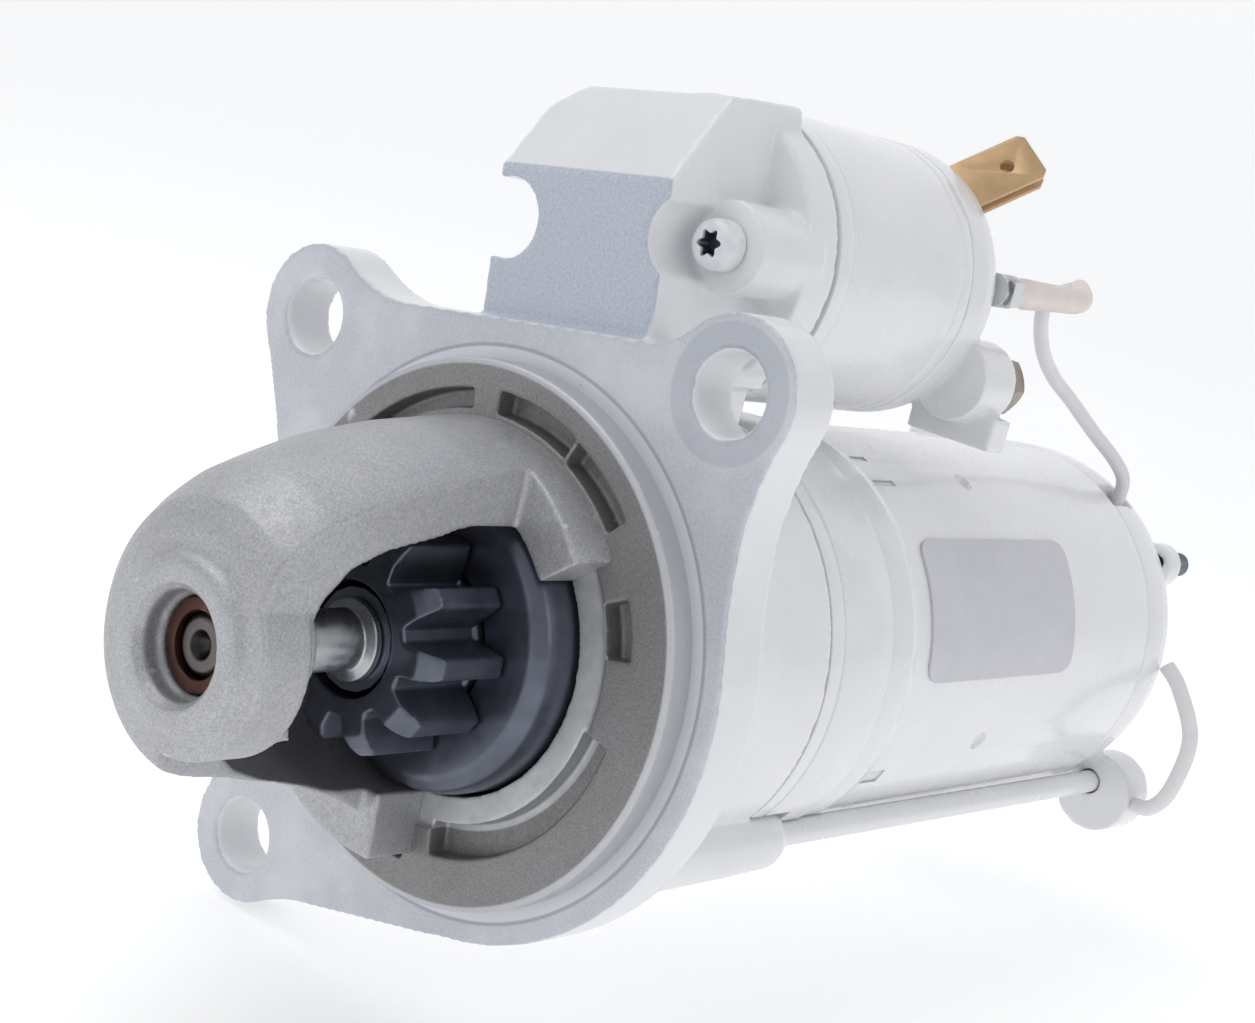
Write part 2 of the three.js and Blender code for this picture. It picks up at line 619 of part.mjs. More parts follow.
function housingScrew(side) {
  const seat = screwSeat(side);
  const head = disc(4.2, seat - 4.5, seat - 0.1, side * SCREW_X, SOLENOID_Z);
  const socket = prism(2.1, 6, seat - 4.8, seat - 1.8, side * SCREW_X, SOLENOID_Z);
  const shank = disc(2.5, seat - 0.8, 40.5, side * SCREW_X, SOLENOID_Z);
  return tilted(head.subtract(socket).add(shank));
}
add('solenoid_screw_right', housingScrew(1), STEEL);
add('solenoid_screw_left', housingScrew(-1), STEEL);

// ---- motor ----
function rodSpace(radius, y0, y1) {
  return disc(radius, y0, y1, -ROD_POS, ROD_POS).add(disc(radius, y0, y1, ROD_POS, -ROD_POS));
}
add('yoke', turned([
  [39, YOKE_START], [39, 73], [YOKE_R, 75], [YOKE_R, YOKE_END], [34.6, YOKE_END],
  [34.6, YOKE_START],
]).subtract(rodSpace(ROD_R + GAP, 60, 180)), PAINT);
const MAGNET_START = 84;
const MAGNET_END = 142;
for (let i = 0; i < 4; i += 1) {
  const shape = sector(34.2, 28.6, 45 + i * 90 - 36, 45 + i * 90 + 36);
  add(`pole_shoe_${i + 1}`, plate(shape, MAGNET_START, MAGNET_END, 10), MAGNET);
}

const sunGear = spurGear(SUN_TEETH, Math.PI / 2 + Math.PI / SUN_TEETH, 0, 50.1, 63.1);
add('armature_shaft', turned([
  [0, 47.4], [4, 47.4], [4, 63], [8, 63], [8, 182], [5, 182.4], [5, 187], [0, 187],
]).add(sunGear), STEEL);
function slotted(outer, slots, slotWidth, depth, y0, y1) {
  const shape = new THREE.Shape();
  const pitch = (Math.PI * 2) / slots;
  const share = slotWidth / outer / 2;
  for (let i = 0; i < slots; i += 1) {
    const angle = i * pitch;
    const corners = [[outer, share], [outer, pitch / 2], [outer, pitch - share],
      [outer - depth, pitch - share], [outer - depth, pitch + share]];
    corners.forEach(([radius, offset], j) => {
      const x = radius * Math.cos(angle + offset);
      const z = radius * Math.sin(angle + offset);
      if (i === 0 && j === 0) shape.moveTo(x, z);
      else shape.lineTo(x, z);
    });
  }
  shape.closePath();
  return plate(shape, y0, y1).subtract(disc(8.3, y0 - 1, y1 + 1));
}
const SLOTS = 16;
add('armature_core', slotted(27.8, SLOTS, 3, 6, 86, 140), DARK_STEEL);

function winding() {
  const heads = turned([[20, 76], [26, 79], [27, 85.6], [8.4, 85.6], [8.4, 76]])
    .add(turned([[27, 140.4], [25.6, 148], [20, 151.6], [8.4, 151.6], [8.4, 140.4]]));
  let all = heads;
  for (let i = 0; i < SLOTS; i += 1) {
    const turn = new THREE.Matrix4().makeRotationY((-i * Math.PI * 2) / SLOTS);
    const bar = toGeometry(block(22.4, 26.6, 85, 141, -0.9, 0.9)).applyMatrix4(turn);
    all = all.add(toSolid(bar));
  }
  return all;
}
add('armature_winding', winding(), COPPER);
add('commutator', slotted(16, 24, 0.8, 1, 152, 170), COPPER);

let brushPlate = tube(34.2, 19, 170, 172);
for (let i = 0; i < 4; i += 1) {
  const turn = new THREE.Matrix4().makeRotationY((-i * Math.PI) / 2);
  const brush = toGeometry(block(16.4, 26, 156, 168, -4, 4)).applyMatrix4(turn);
  add(`brush_${i + 1}`, toSolid(brush), CARBON);
  const holder = block(19.5, 31, 154, 170.5, -6, 6).subtract(block(18, 32, 155.6, 168.4, -4.4, 4.4));
  brushPlate = brushPlate.add(toSolid(toGeometry(holder).applyMatrix4(turn)));
}
add('brush_plate', brushPlate, BLACK);

// ---- rear cover and tie rods ----
function rearCover() {
  let cover = turned([
    [0, 188.2], [8, 188.2], [8, 183], [30, 183], [33.4, 178], [34.8, 173.4],
    [35.4, YOKE_END + GAP], [38, YOKE_END + GAP], [38, 172], [36.8, 179.6], [33.4, 184.6],
    [26, 187.6], [13, 188.4], [11, COVER_END], [0, COVER_END],
  ]);
  for (const side of [-1, 1]) {
    const x = -side * ROD_POS;
    const z = side * ROD_POS;
    const ear = disc(8.6, 179, 189, x * 1.06, z * 1.06);
    cover = cover.add(ear.subtract(disc(33.4, 170, 183.1)));
  }
  cover = cover.subtract(rodSpace(ROD_R + GAP, 160, 195));
  cover = cover.add(disc(4.8, 183.1, 188.8, ...REAR_STUD)).subtract(disc(2.9, 182, 190, ...REAR_STUD));
  return cover.subtract(block(15.6, 20.6, 168, 177.8, 30, 40));
}
add('rear_cover', rearCover(), PAINT);
add('rear_bush', tube(7.7, 5.2, 182.9, 187.9), BRONZE);
['upper', 'lower'].forEach((which, index) => {
  const side = index === 0 ? 1 : -1;
  const x = -side * ROD_POS;
  const z = side * ROD_POS;
  const rod = disc(ROD_R, 38, 190, x, z).add(hexagon(8, 189.3, 194, x, z));
  add(`tie_rod_${which}`, rod, PAINT);
});
add('rear_stud', disc(2.6, 183.2, 197.5, ...REAR_STUD), DARK_STEEL);

const labelPlate = tube(YOKE_R + 0.75, YOKE_R + 0.3, 79.5, 133.5)
  .intersect(plate(sector(60, 1, 3, 43), 70, 140, 12));
add('label_plate', labelPlate, LABEL);

// ---- leads, each along its whole route ----
add('motor_lead', wire([
  [20.8, 95.6, 71.5], [21.4, 104, 71.7], [21.8, 115, 72], [21.4, 126, 72.5], [17, 133, 74.5],
  [12, 131, 70], [9, 139, 62], [7.5, 150, 55.5], [8.5, 160, 50.5], [12, 167, 45], [16.4, 172.2, 40],
  [18, 175.2, 36], [17.6, 175.6, 30.5],
], 1.9, 36), LABEL);
add('earth_lead', wire([
  [38, 180, 1.2], [42.5, 180, -2.7], [48.1, 180, -12], [47.2, 180.4, -23.8],
  [43.8, 181.4, -29.4], [39.9, 182, -30.6],
], 1.8, 16), LABEL);

export default starter;
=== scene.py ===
"""Looks of the starter motor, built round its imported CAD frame."""
import json
import math

import bmesh
import bpy
from mathutils import Matrix, Vector


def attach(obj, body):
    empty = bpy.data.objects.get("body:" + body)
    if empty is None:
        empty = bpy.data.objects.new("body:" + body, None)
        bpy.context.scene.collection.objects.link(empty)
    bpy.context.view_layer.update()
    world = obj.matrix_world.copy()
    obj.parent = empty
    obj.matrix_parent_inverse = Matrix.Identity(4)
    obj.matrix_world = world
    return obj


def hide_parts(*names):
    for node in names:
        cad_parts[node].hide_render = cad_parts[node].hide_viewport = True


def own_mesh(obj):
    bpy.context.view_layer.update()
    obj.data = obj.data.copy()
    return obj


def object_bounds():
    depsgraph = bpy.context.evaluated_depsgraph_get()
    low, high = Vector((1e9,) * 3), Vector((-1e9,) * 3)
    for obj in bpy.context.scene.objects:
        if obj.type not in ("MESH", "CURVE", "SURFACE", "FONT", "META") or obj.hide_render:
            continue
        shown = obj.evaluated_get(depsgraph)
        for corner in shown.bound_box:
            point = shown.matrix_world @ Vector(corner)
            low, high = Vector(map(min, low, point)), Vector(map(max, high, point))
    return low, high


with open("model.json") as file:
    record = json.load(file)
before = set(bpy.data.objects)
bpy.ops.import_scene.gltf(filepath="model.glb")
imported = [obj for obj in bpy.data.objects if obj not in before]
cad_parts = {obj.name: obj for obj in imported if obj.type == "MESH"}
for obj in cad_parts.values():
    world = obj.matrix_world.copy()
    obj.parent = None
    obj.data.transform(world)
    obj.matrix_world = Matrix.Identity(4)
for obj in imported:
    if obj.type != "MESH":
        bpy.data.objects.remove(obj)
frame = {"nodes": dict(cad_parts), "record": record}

nodes = frame["nodes"]
cad_box = [list(corner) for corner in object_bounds()]

# Dimensions are in millimetres in the frame of the CAD model: +Y runs along the shaft to the
# rear cover and +Z from the shaft to the solenoid.
MM = 0.001
SOLENOID_Z = 67.7
LEVER_TILT = math.radians(8)
ROD_POS = 29.03
RIGHT_HOLE = (37, 50.8)
LEFT_HOLE = (-52, 39.7)
LOW_HOLE = (-41, -52.4)
YOKE_R = 38.3
M_TERMINAL = (22, 54.5)
BATTERY_TERMINAL = (-20, 60)
REAR_STUD = (26, 20)
SCREWS = {"right": (18, 15.8), "left": (-18, 24)}  # each solenoid screw's x and its seat's y


# ---- camera ----
def make_camera():
    data = bpy.data.cameras.new("camera")
    data.lens = 64.43
    data.sensor_width = 36
    data.shift_y = 0.0651
    data.clip_start = 0.01
    camera = bpy.data.objects.new("camera", data)
    bpy.context.scene.collection.objects.link(camera)
    right = Vector((0.741703, 0.623428, 0.247416))
    up = Vector((-0.326294, 0.013091, 0.945178))
    back = Vector((0.586011, -0.781771, 0.213131))
    camera.matrix_world = Matrix.Translation((0.229379, -0.268285, 0.089921)) @ Matrix(
        (right, up, back)).transposed().to_4x4()
    bpy.context.scene.camera = camera


make_camera()


# ---- meshes ----
def new_object(name, verts, faces):
    mesh = bpy.data.meshes.new(name)
    mesh.from_pydata([(x * MM, y * MM, z * MM) for x, y, z in verts], [], faces)
    mesh.validate()
    obj = bpy.data.objects.new(name, mesh)
    bpy.context.scene.collection.objects.link(obj)
    return obj


def lathe(name, profile, x=0, z=0, steps=128):
    """A solid turned about a line along Y: (radius, y) pairs, up the outside first."""
    verts, faces, rings = [], [], []
    for radius, y in profile:
        if radius == 0:
            rings.append([len(verts)] * steps)
            verts.append((x, y, z))
            continue
        rings.append(list(range(len(verts), len(verts) + steps)))
        for i in range(steps):
            a = 2 * math.pi * i / steps
            verts.append((x + radius * math.cos(a), y, z + radius * math.sin(a)))
    closed = profile[0][0] > 0
    pairs = list(zip(rings, rings[1:] + rings[:1] if closed else rings[1:]))
    for low, high in pairs:
        for i in range(steps):
            j = (i + 1) % steps
            corners = [low[i], high[i], high[j], low[j]]
            face = list(dict.fromkeys(corners))
            if len(face) > 2:
                faces.append(face)
    return new_object(name, verts, faces)


def soften(profile, size, points=3):
    """The profile with each sharp corner off the axis rounded."""
    closed = profile[0][0] > 0
    out = []
    for i, corner in enumerate(profile):
        if not closed and i in (0, len(profile) - 1):
            out.append(corner)
            continue
        here = Vector(corner)
        before = Vector(profile[i - 1]) - here
        after = Vector(profile[(i + 1) % len(profile)]) - here
        reach = min(size, before.length * 0.45, after.length * 0.45)
        if reach < 0.02 or before.angle(after) > math.radians(168):
            out.append(corner)
            continue
        start = here + before.normalized() * reach
        end = here + after.normalized() * reach
        for k in range(points + 1):
            t = k / points
            p = start * (1 - t) ** 2 + here * 2 * t * (1 - t) + end * t * t
            out.append((p.x, p.y))
    return out


def prism(name, outline, y0, y1):
    """An outline of (x, z) points, counter-clockwise, carried from y0 to y1."""
    n = len(outline)
    verts = [(x, y0, z) for x, z in outline] + [(x, y1, z) for x, z in outline]
    faces = [list(range(n)), list(range(2 * n - 1, n - 1, -1))]
    faces += [[i, n + i, n + (i + 1) % n, (i + 1) % n] for i in range(n)]
    return new_object(name, verts, faces)


def block(name, x0, x1, y0, y1, z0, z1):
    return prism(name, [(x0, z0), (x1, z0), (x1, z1), (x0, z1)], y0, y1)


def disc(name, radius, y0, y1, x=0, z=0, steps=64):
    return lathe(name, [(0, y0), (radius, y0), (radius, y1), (0, y1)], x, z, steps)


def arc(x, z, radius, a0, a1, points):
    span = [math.radians(a0 + (a1 - a0) * i / points) for i in range(points + 1)]
    return [(x + radius * math.cos(a), z + radius * math.sin(a)) for a in span]


def sector(outer, inner, a0, a1, points=24):
    return arc(0, 0, outer, a0, a1, points) + arc(0, 0, inner, a1, a0, points)


def bezier(p0, p1, p2, p3, points=10):
    out = []
    for i in range(1, points):
        t = i / points
        u = 1 - t
        weights = (u ** 3, 3 * u * u * t, 3 * u * t * t, t ** 3)
        out.append(tuple(sum(w * p[k] for w, p in zip(weights, (p0, p1, p2, p3)))
                         for k in (0, 1)))
    return out


def tilt(obj, angle=LEVER_TILT):
    """Turns a mesh about the solenoid's axis."""
    move = Matrix.Translation((0, 0, SOLENOID_Z * MM))
    obj.data.transform(move @ Matrix.Rotation(-angle, 4, "Y") @ move.inverted())
    return obj


def tube(name, points, radius, steps=8):
    """A round lead along a smooth curve; radius is one number or one for each point."""
    radii = radius if isinstance(radius, (list, tuple)) else [radius] * len(points)
    data = bpy.data.curves.new(name, "CURVE")
    data.dimensions = "3D"
    data.bevel_depth = MM
    data.bevel_resolution = 5
    data.resolution_u = steps
    data.use_fill_caps = True
    spline = data.splines.new("BEZIER")
    spline.bezier_points.add(len(points) - 1)
    for i, (point, size) in enumerate(zip(points, radii)):
        knot = spline.bezier_points[i]
        here = Vector(point) * MM
        before = Vector(points[max(i - 1, 0)]) * MM
        after = Vector(points[min(i + 1, len(points) - 1)]) * MM
        knot.co = here
        knot.handle_left = here - (after - before) / 6
        knot.handle_right = here + (after - before) / 6
        knot.radius = size
    curve = bpy.data.objects.new(name, data)
    bpy.context.scene.collection.objects.link(curve)
    mesh = bpy.data.meshes.new_from_object(
        curve.evaluated_get(bpy.context.evaluated_depsgraph_get()))
    bpy.data.objects.remove(curve)
    bm = bmesh.new()
    bm.from_mesh(mesh)
    bmesh.ops.remove_doubles(bm, verts=bm.verts, dist=1e-6)
    bmesh.ops.recalc_face_normals(bm, faces=bm.faces)
    bm.to_mesh(mesh)
    bm.free()
    obj = bpy.data.objects.new(name, mesh)
    bpy.context.scene.collection.objects.link(obj)
    return obj


def apply_modifiers(obj):
    depsgraph = bpy.context.evaluated_depsgraph_get()
    mesh = bpy.data.meshes.new_from_object(obj.evaluated_get(depsgraph))
    obj.modifiers.clear()
    obj.data = mesh
    return obj


def combine(base, other, operation):
    """Joins another solid to base, or cuts it away, and removes it."""
    modifier = base.modifiers.new("solid", "BOOLEAN")
    modifier.solver = "MANIFOLD"
    modifier.operation = operation
    modifier.object = other
    apply_modifiers(base)
    bpy.data.objects.remove(other)
    return base


def join(base, *others):
    for other in others:
        combine(base, other, "UNION")
    return base


def cut(base, *others):
    for other in others:
        combine(base, other, "DIFFERENCE")
    return base


def cast(obj, voxel, rounding, keep):
    """Rounds every edge as a casting's are: a fine skin, smoothed, then thinned."""
    remesh = obj.modifiers.new("skin", "REMESH")
    remesh.mode = "VOXEL"
    remesh.voxel_size = voxel * MM
    remesh.use_smooth_shade = True
    smooth = obj.modifiers.new("round", "SMOOTH")
    smooth.factor = 0.5
    smooth.iterations = rounding
    thin = obj.modifiers.new("thin", "DECIMATE")
    thin.ratio = keep
    return apply_modifiers(obj)


def shade(obj, angle=32):
    obj.data.shade_smooth()
    obj.data.set_sharp_from_angle(angle=math.radians(angle))
    return obj


def place(obj, body, slot_name, material, *replaced):
    """Gives a finished piece its material and its place in the frame."""
    obj.data.materials.clear()
    obj.data.materials.append(material)
    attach(obj, body)
    if replaced:
        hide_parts(*replaced)
    return obj


# ---- materials ----
class Nodes:
    """A short way to write a material's node tree."""

    def __init__(self, name):
        self.material = bpy.data.materials.new(name)
        self.material.use_nodes = True
        self.tree = self.material.node_tree
        self.shader = self.tree.nodes["Principled BSDF"]
        self.place = self.add("ShaderNodeTexCoord").outputs["Object"]
        self.pointy = self.add("ShaderNodeNewGeometry").outputs["Pointiness"]

    def add(self, kind, **values):
        node = self.tree.nodes.new(kind)
        for key, value in values.items():
            setattr(node, key, value)
        return node

    def link(self, source, target):
        self.tree.links.new(source, target)

    def put(self, value, socket):
        """Sets a socket from another node's output, a number or a colour."""
        if hasattr(value, "links"):
            self.link(value, socket)
        elif socket.type != "RGBA":
            socket.default_value = value
        elif isinstance(value, (int, float)):
            socket.default_value = (value, value, value, 1)
        else:
            socket.default_value = (*value, 1)

    def noise(self, size_mm, detail=3, roughness=0.55, stretch=(1, 1, 1)):
        """Noise whose grains are about size_mm across."""
        mapping = self.add("ShaderNodeMapping")
        self.link(self.place, mapping.inputs["Vector"])
        mapping.inputs["Scale"].default_value = stretch
        node = self.add("ShaderNodeTexNoise")
        node.inputs["Scale"].default_value = 1 / (size_mm * MM)
        node.inputs["Detail"].default_value = detail
        node.inputs["Roughness"].default_value = roughness
        self.link(mapping.outputs["Vector"], node.inputs["Vector"])
        return node.outputs["Fac"]

    def mix(self, factor, a, b, blend="MIX"):
        node = self.add("ShaderNodeMix", data_type="RGBA", blend_type=blend)
        self.put(factor, node.inputs[0])
        self.put(a, node.inputs[6])
        self.put(b, node.inputs[7])
        return node.outputs[2]

    def math(self, operation, a, b=0.0):
        node = self.add("ShaderNodeMath", operation=operation)
        self.put(a, node.inputs[0])
        self.put(b, node.inputs[1])
        return node.outputs[0]

    def step(self, value, start, end, low=0.0, high=1.0):
        """Rises from low to high while value goes from start to end."""
        node = self.add("ShaderNodeMapRange")
        for socket, number in zip(node.inputs[1:5], (start, end, low, high)):
            socket.default_value = number
        self.link(value, node.inputs[0])
        return node.outputs[0]

    def along(self, axis):
        """Position along X, Y or Z in millimetres."""
        node = self.add("ShaderNodeSeparateXYZ")
        self.link(self.place, node.inputs[0])
        return self.math("MULTIPLY", node.outputs[axis], 1000)

    def distance(self, x=0, z=0):
        """Millimetres from the line along Y through (x, z)."""
        offset = self.add("ShaderNodeVectorMath", operation="SUBTRACT")
        self.link(self.place, offset.inputs[0])
        offset.inputs[1].default_value = (x * MM, 0, z * MM)
        flat = self.add("ShaderNodeVectorMath", operation="MULTIPLY")
        self.link(offset.outputs[0], flat.inputs[0])
        flat.inputs[1].default_value = (1000, 0, 1000)
        length = self.add("ShaderNodeVectorMath", operation="LENGTH")
        self.link(flat.outputs[0], length.inputs[0])
        return length.outputs["Value"]

    def worn_edges(self, amount=1.0):
        return self.step(self.pointy, 0.54, 0.64, 0, amount)

    def painted_corner_shade(self, amount):
        # Painted shade: darkens concave corners and creases by pointiness, where shade falls.
        return self.step(self.pointy, 0.46, 0.38, 0, amount)

    def bump(self, height, strength, depth_mm):
        node = self.add("ShaderNodeBump")
        node.inputs["Strength"].default_value = strength
        node.inputs["Distance"].default_value = depth_mm * MM
        self.link(height, node.inputs["Height"])
        self.link(node.outputs["Normal"], self.shader.inputs["Normal"])

    def finish(self, colour, roughness, metallic=0.0):
        self.put(colour, self.shader.inputs["Base Color"])
        self.put(roughness, self.shader.inputs["Roughness"])
        self.put(metallic, self.shader.inputs["Metallic"])
        return self.material


def gloss_paint(name, tint=(0.82, 0.825, 0.845)):
    """White gloss paint: faint orange peel, faint clouds, and painted shade in the corners."""
    m = Nodes(name)
    clouds = m.step(m.noise(16, 4), 0.35, 0.7)
    colour = m.mix(clouds, tuple(c * 0.95 for c in tint), tint)
    specks = m.step(m.noise(0.7, 2), 0.79, 0.82, 0, 0.3)
    colour = m.mix(specks, colour, (0.38, 0.37, 0.38))
    # Painted shade: concave corners darkened to a bluish grey.
    colour = m.mix(m.painted_corner_shade(0.6), colour, (0.3, 0.32, 0.37))
    roughness = m.step(m.noise(5, 3), 0.3, 0.75, 0.2, 0.3)
    m.shader.inputs["Coat Weight"].default_value = 0.5
    m.shader.inputs["Coat Roughness"].default_value = 0.08
    m.bump(m.noise(1.8, 2), 0.06, 0.05)
    return m.finish(colour, roughness)


def flange_paint(name):
    """The drive end's paint: gloss white, thin and chipped on the mounting face, with the
    lever housing's front left rough and grey."""
    m = Nodes(name)
    x, y, z = m.along(0), m.along(1), m.along(2)
    wobble = m.step(m.noise(2.5, 4, 0.7), 0.3, 0.7, -0.12, 0.12)
    face = m.step(m.math("ADD", y, wobble), 0.42, 0.3)
    front = m.math("MULTIPLY", m.step(y, 4.8, 4.5), m.step(y, 2.6, 2.9))
    lever = m.math("MULTIPLY", front, m.step(z, 48.5, 50))
    across = m.math("MULTIPLY", m.step(x, -26, -25), m.step(x, 16.5, 16))
    lever = m.math("MULTIPLY", lever, across)
    clouds = m.step(m.noise(16, 4), 0.35, 0.7)
    white = m.mix(clouds, (0.78, 0.785, 0.805), (0.82, 0.825, 0.845))
    # Painted shade: concave corners darkened to a bluish grey.
    white = m.mix(m.painted_corner_shade(0.6), white, (0.3, 0.32, 0.37))
    speckle = m.noise(0.5, 5, 0.75)
    thin = m.mix(m.step(speckle, 0.3, 0.72), (0.47, 0.49, 0.54), (0.66, 0.675, 0.715))
    thin = m.mix(m.step(m.noise(18, 5, 0.6), 0.45, 0.62, 0, 0.6), thin, (0.7, 0.71, 0.74))
    spot_face = m.step(m.distance(*RIGHT_HOLE), 11, 10.6, 0, 0.4)
    thin = m.mix(spot_face, thin, (0.36, 0.39, 0.46))
    pilot = m.distance()
    # Painted highlight: a lighter band on the face round the spigot's base, where its fillet
    # catches the light.
    thin = m.mix(m.step(pilot, 46.7, 46.3, 0, 0.7), thin, (0.72, 0.74, 0.78))
    # Painted shade: a dark bluish ring just outside that band, standing in for the shade of a
    # groove at the spigot's base.
    painted_groove_shade = m.math("MULTIPLY", m.step(pilot, 46.4, 46.7), m.step(pilot, 47.3, 46.9, 0, 0.6))
    thin = m.mix(painted_groove_shade, thin, (0.24, 0.26, 0.32))
    chips = m.step(m.noise(1.5, 5, 0.75), 0.66, 0.69, 0, 0.75)
    thin = m.mix(chips, thin, (0.14, 0.13, 0.13))
    grey = m.mix(m.step(speckle, 0.35, 0.65), (0.42, 0.46, 0.55), (0.6, 0.63, 0.7))
    colour = m.mix(lever, m.mix(face, white, thin), grey)
    rough = m.mix(lever, m.mix(face, 0.26, 0.42), 0.8)
    fine = m.math("MULTIPLY", m.noise(1.8, 2), 0.15)
    matt = m.math("MAXIMUM", m.math("MULTIPLY", face, 0.4), lever)
    m.bump(m.mix(matt, fine, speckle), 0.4, 0.06)
    m.shader.inputs["Coat Weight"].default_value = 0.25
    m.shader.inputs["Coat Roughness"].default_value = 0.12
    return m.finish(colour, rough, m.math("MULTIPLY", face, 0.3))


def bare_casting(name, base):
    """Sand-cast aluminium: fine grain, stains, and rubbed bright edges."""
    m = Nodes(name)
    grain = m.noise(0.38, 4, 0.75)
    colour = m.mix(m.step(grain, 0.32, 0.68), tuple(c * 0.72 for c in base),
                   tuple(c * 1.2 for c in base))
    stain = m.mix(m.step(m.noise(9, 4), 0.35, 0.62), (0.95, 0.94, 0.935), (1, 1, 1.02))
    colour = m.mix(1.0, colour, stain, "MULTIPLY")
    colour = m.mix(m.worn_edges(0.7), colour, (0.8, 0.8, 0.82))
    pits = m.step(m.noise(1.1, 4, 0.7), 0.7, 0.74, 0, 0.6)
    colour = m.mix(pits, colour, (0.1, 0.095, 0.09))
    roughness = m.step(m.noise(1.3, 3), 0.3, 0.75, 0.4, 0.58)
    return m, grain, colour, roughness


def nose_metal():
    m, grain, colour, roughness = bare_casting("bare_casting", (0.5, 0.505, 0.52))
    m.bump(grain, 0.55, 0.1)
    return m.finish(colour, roughness, 0.6)


def spigot_metal():
    """The spigot's rough face, with a paler machined ring round the clutch drum."""
    m, grain, colour, roughness = bare_casting("spigot_casting", (0.29, 0.287, 0.287))
    inner = m.step(m.distance(), 31.9, 31.6)
    pale = m.mix(m.step(m.noise(3, 4), 0.3, 0.7), (0.5, 0.51, 0.52), (0.62, 0.63, 0.64))
    colour = m.mix(inner, colour, pale)
    rim = m.step(m.distance(), 43.3, 43.7, 0, 0.75)
    colour = m.mix(rim, colour, (0.66, 0.67, 0.7))
    m.bump(m.math("MULTIPLY", grain, m.step(m.distance(), 31.6, 31.9, 0.15, 1)), 0.6, 0.12)
    return m.finish(colour, roughness, 0.6)


def machined(name, base, rough=(0.22, 0.4), metallic=1.0, grain=0.12):
    """Turned or ground metal: fine lines and light stains."""
    m = Nodes(name)
    colour = m.mix(m.step(m.noise(5, 4), 0.3, 0.7), tuple(c * 0.75 for c in base), base)
    colour = m.mix(m.worn_edges(0.6), colour, tuple(min(1, c * 1.8) for c in base))
    roughness = m.step(m.noise(2, 3), 0.3, 0.75, *rough)
    m.bump(m.noise(0.25, 2, 0.5, (1, 6, 1)), grain, 0.03)
    return m.finish(colour, roughness, metallic)


def shaft_steel():
    """Bright steel, with painted shade where the shaft's end sits back in the nose, darkest in
    its centre hole.
    """
    m = Nodes("shaft_steel")
    bright = m.mix(m.step(m.noise(5, 4), 0.3, 0.7), (0.42, 0.43, 0.45), (0.56, 0.57, 0.59))
    # Painted shade: the shaft's end in the nose's recess near black, darker still in the centre
    # hole.
    dark = m.mix(m.step(m.distance(), 2.1, 2.4), (0.05, 0.045, 0.045), (0.15, 0.135, 0.13))
    colour = m.mix(m.step(m.along(1), -52, -53), bright, dark)
    m.bump(m.noise(0.25, 2, 0.5, (1, 6, 1)), 0.12, 0.03)
    return m.finish(colour, m.step(m.noise(2, 3), 0.3, 0.75, 0.25, 0.42), 1.0)


def plastic(name, base, rough=(0.45, 0.6), grain_mm=0.4, depth=0.04, spread=0.85):
    """Moulded plastic, insulation or pressed carbon with a fine grain."""
    m = Nodes(name)
    low = tuple(c * spread for c in base)
    colour = m.mix(m.step(m.noise(6, 3), 0.3, 0.7), low, base)
    roughness = m.step(m.noise(2, 2), 0.3, 0.75, *rough)
    m.bump(m.noise(grain_mm, 3), 0.3, depth)
    return m.finish(colour, roughness)


PAINT = gloss_paint("gloss_paint")
FLANGE_PAINT = flange_paint("flange_paint")
CAST = nose_metal()
SPIGOT_METAL = spigot_metal()
STEEL = machined("steel", (0.55, 0.56, 0.58))
DARK_STEEL = machined("dark_steel", (0.15, 0.165, 0.21), (0.28, 0.42), 0.85)
STUD_STEEL = machined("stud_steel", (0.22, 0.23, 0.26), (0.3, 0.45))
SHAFT_STEEL = shaft_steel()
WORN_NUT = machined("worn_nut", (0.4, 0.35, 0.3), (0.4, 0.55))
COPPER = machined("copper", (0.72, 0.4, 0.24), (0.25, 0.4))
BRONZE = machined("bronze", (0.12, 0.062, 0.05), (0.35, 0.55))
TERMINAL = machined("terminal_brass", (0.66, 0.44, 0.24), (0.35, 0.5), 0.45, 0.1)
MOULDED = plastic("moulded", (0.03, 0.03, 0.033))
MAGNET = plastic("magnet", (0.08, 0.08, 0.082), (0.6, 0.8))
CARBON = plastic("carbon", (0.05, 0.047, 0.045), (0.5, 0.7))
LABEL = plastic("label", (0.64, 0.63, 0.68), (0.4, 0.5), 0.5, 0.03, 0.94)
INSULATION = plastic("insulation", (0.8, 0.79, 0.8), (0.35, 0.5), 1.2, 0.05, 0.94)
SLEEVE = plastic("sleeve", (0.84, 0.74, 0.71), (0.4, 0.55), 2.5, 0.3, 0.9)

SLOT_MATERIALS = {
    "housing_paint": PAINT, "cast_metal": CAST, "steel": STEEL, "dark_steel": DARK_STEEL,
    "copper": COPPER, "bronze": BRONZE, "terminal_brass": TERMINAL, "moulded": MOULDED,
    "magnet": MAGNET, "carbon": CARBON, "label": LABEL, "insulation": INSULATION,
}
for subpart in frame["record"]["subparts"]:
    materials = nodes[subpart["node"]].data.materials
    materials.clear()
    materials.append(SLOT_MATERIALS[subpart["material_slot"]])


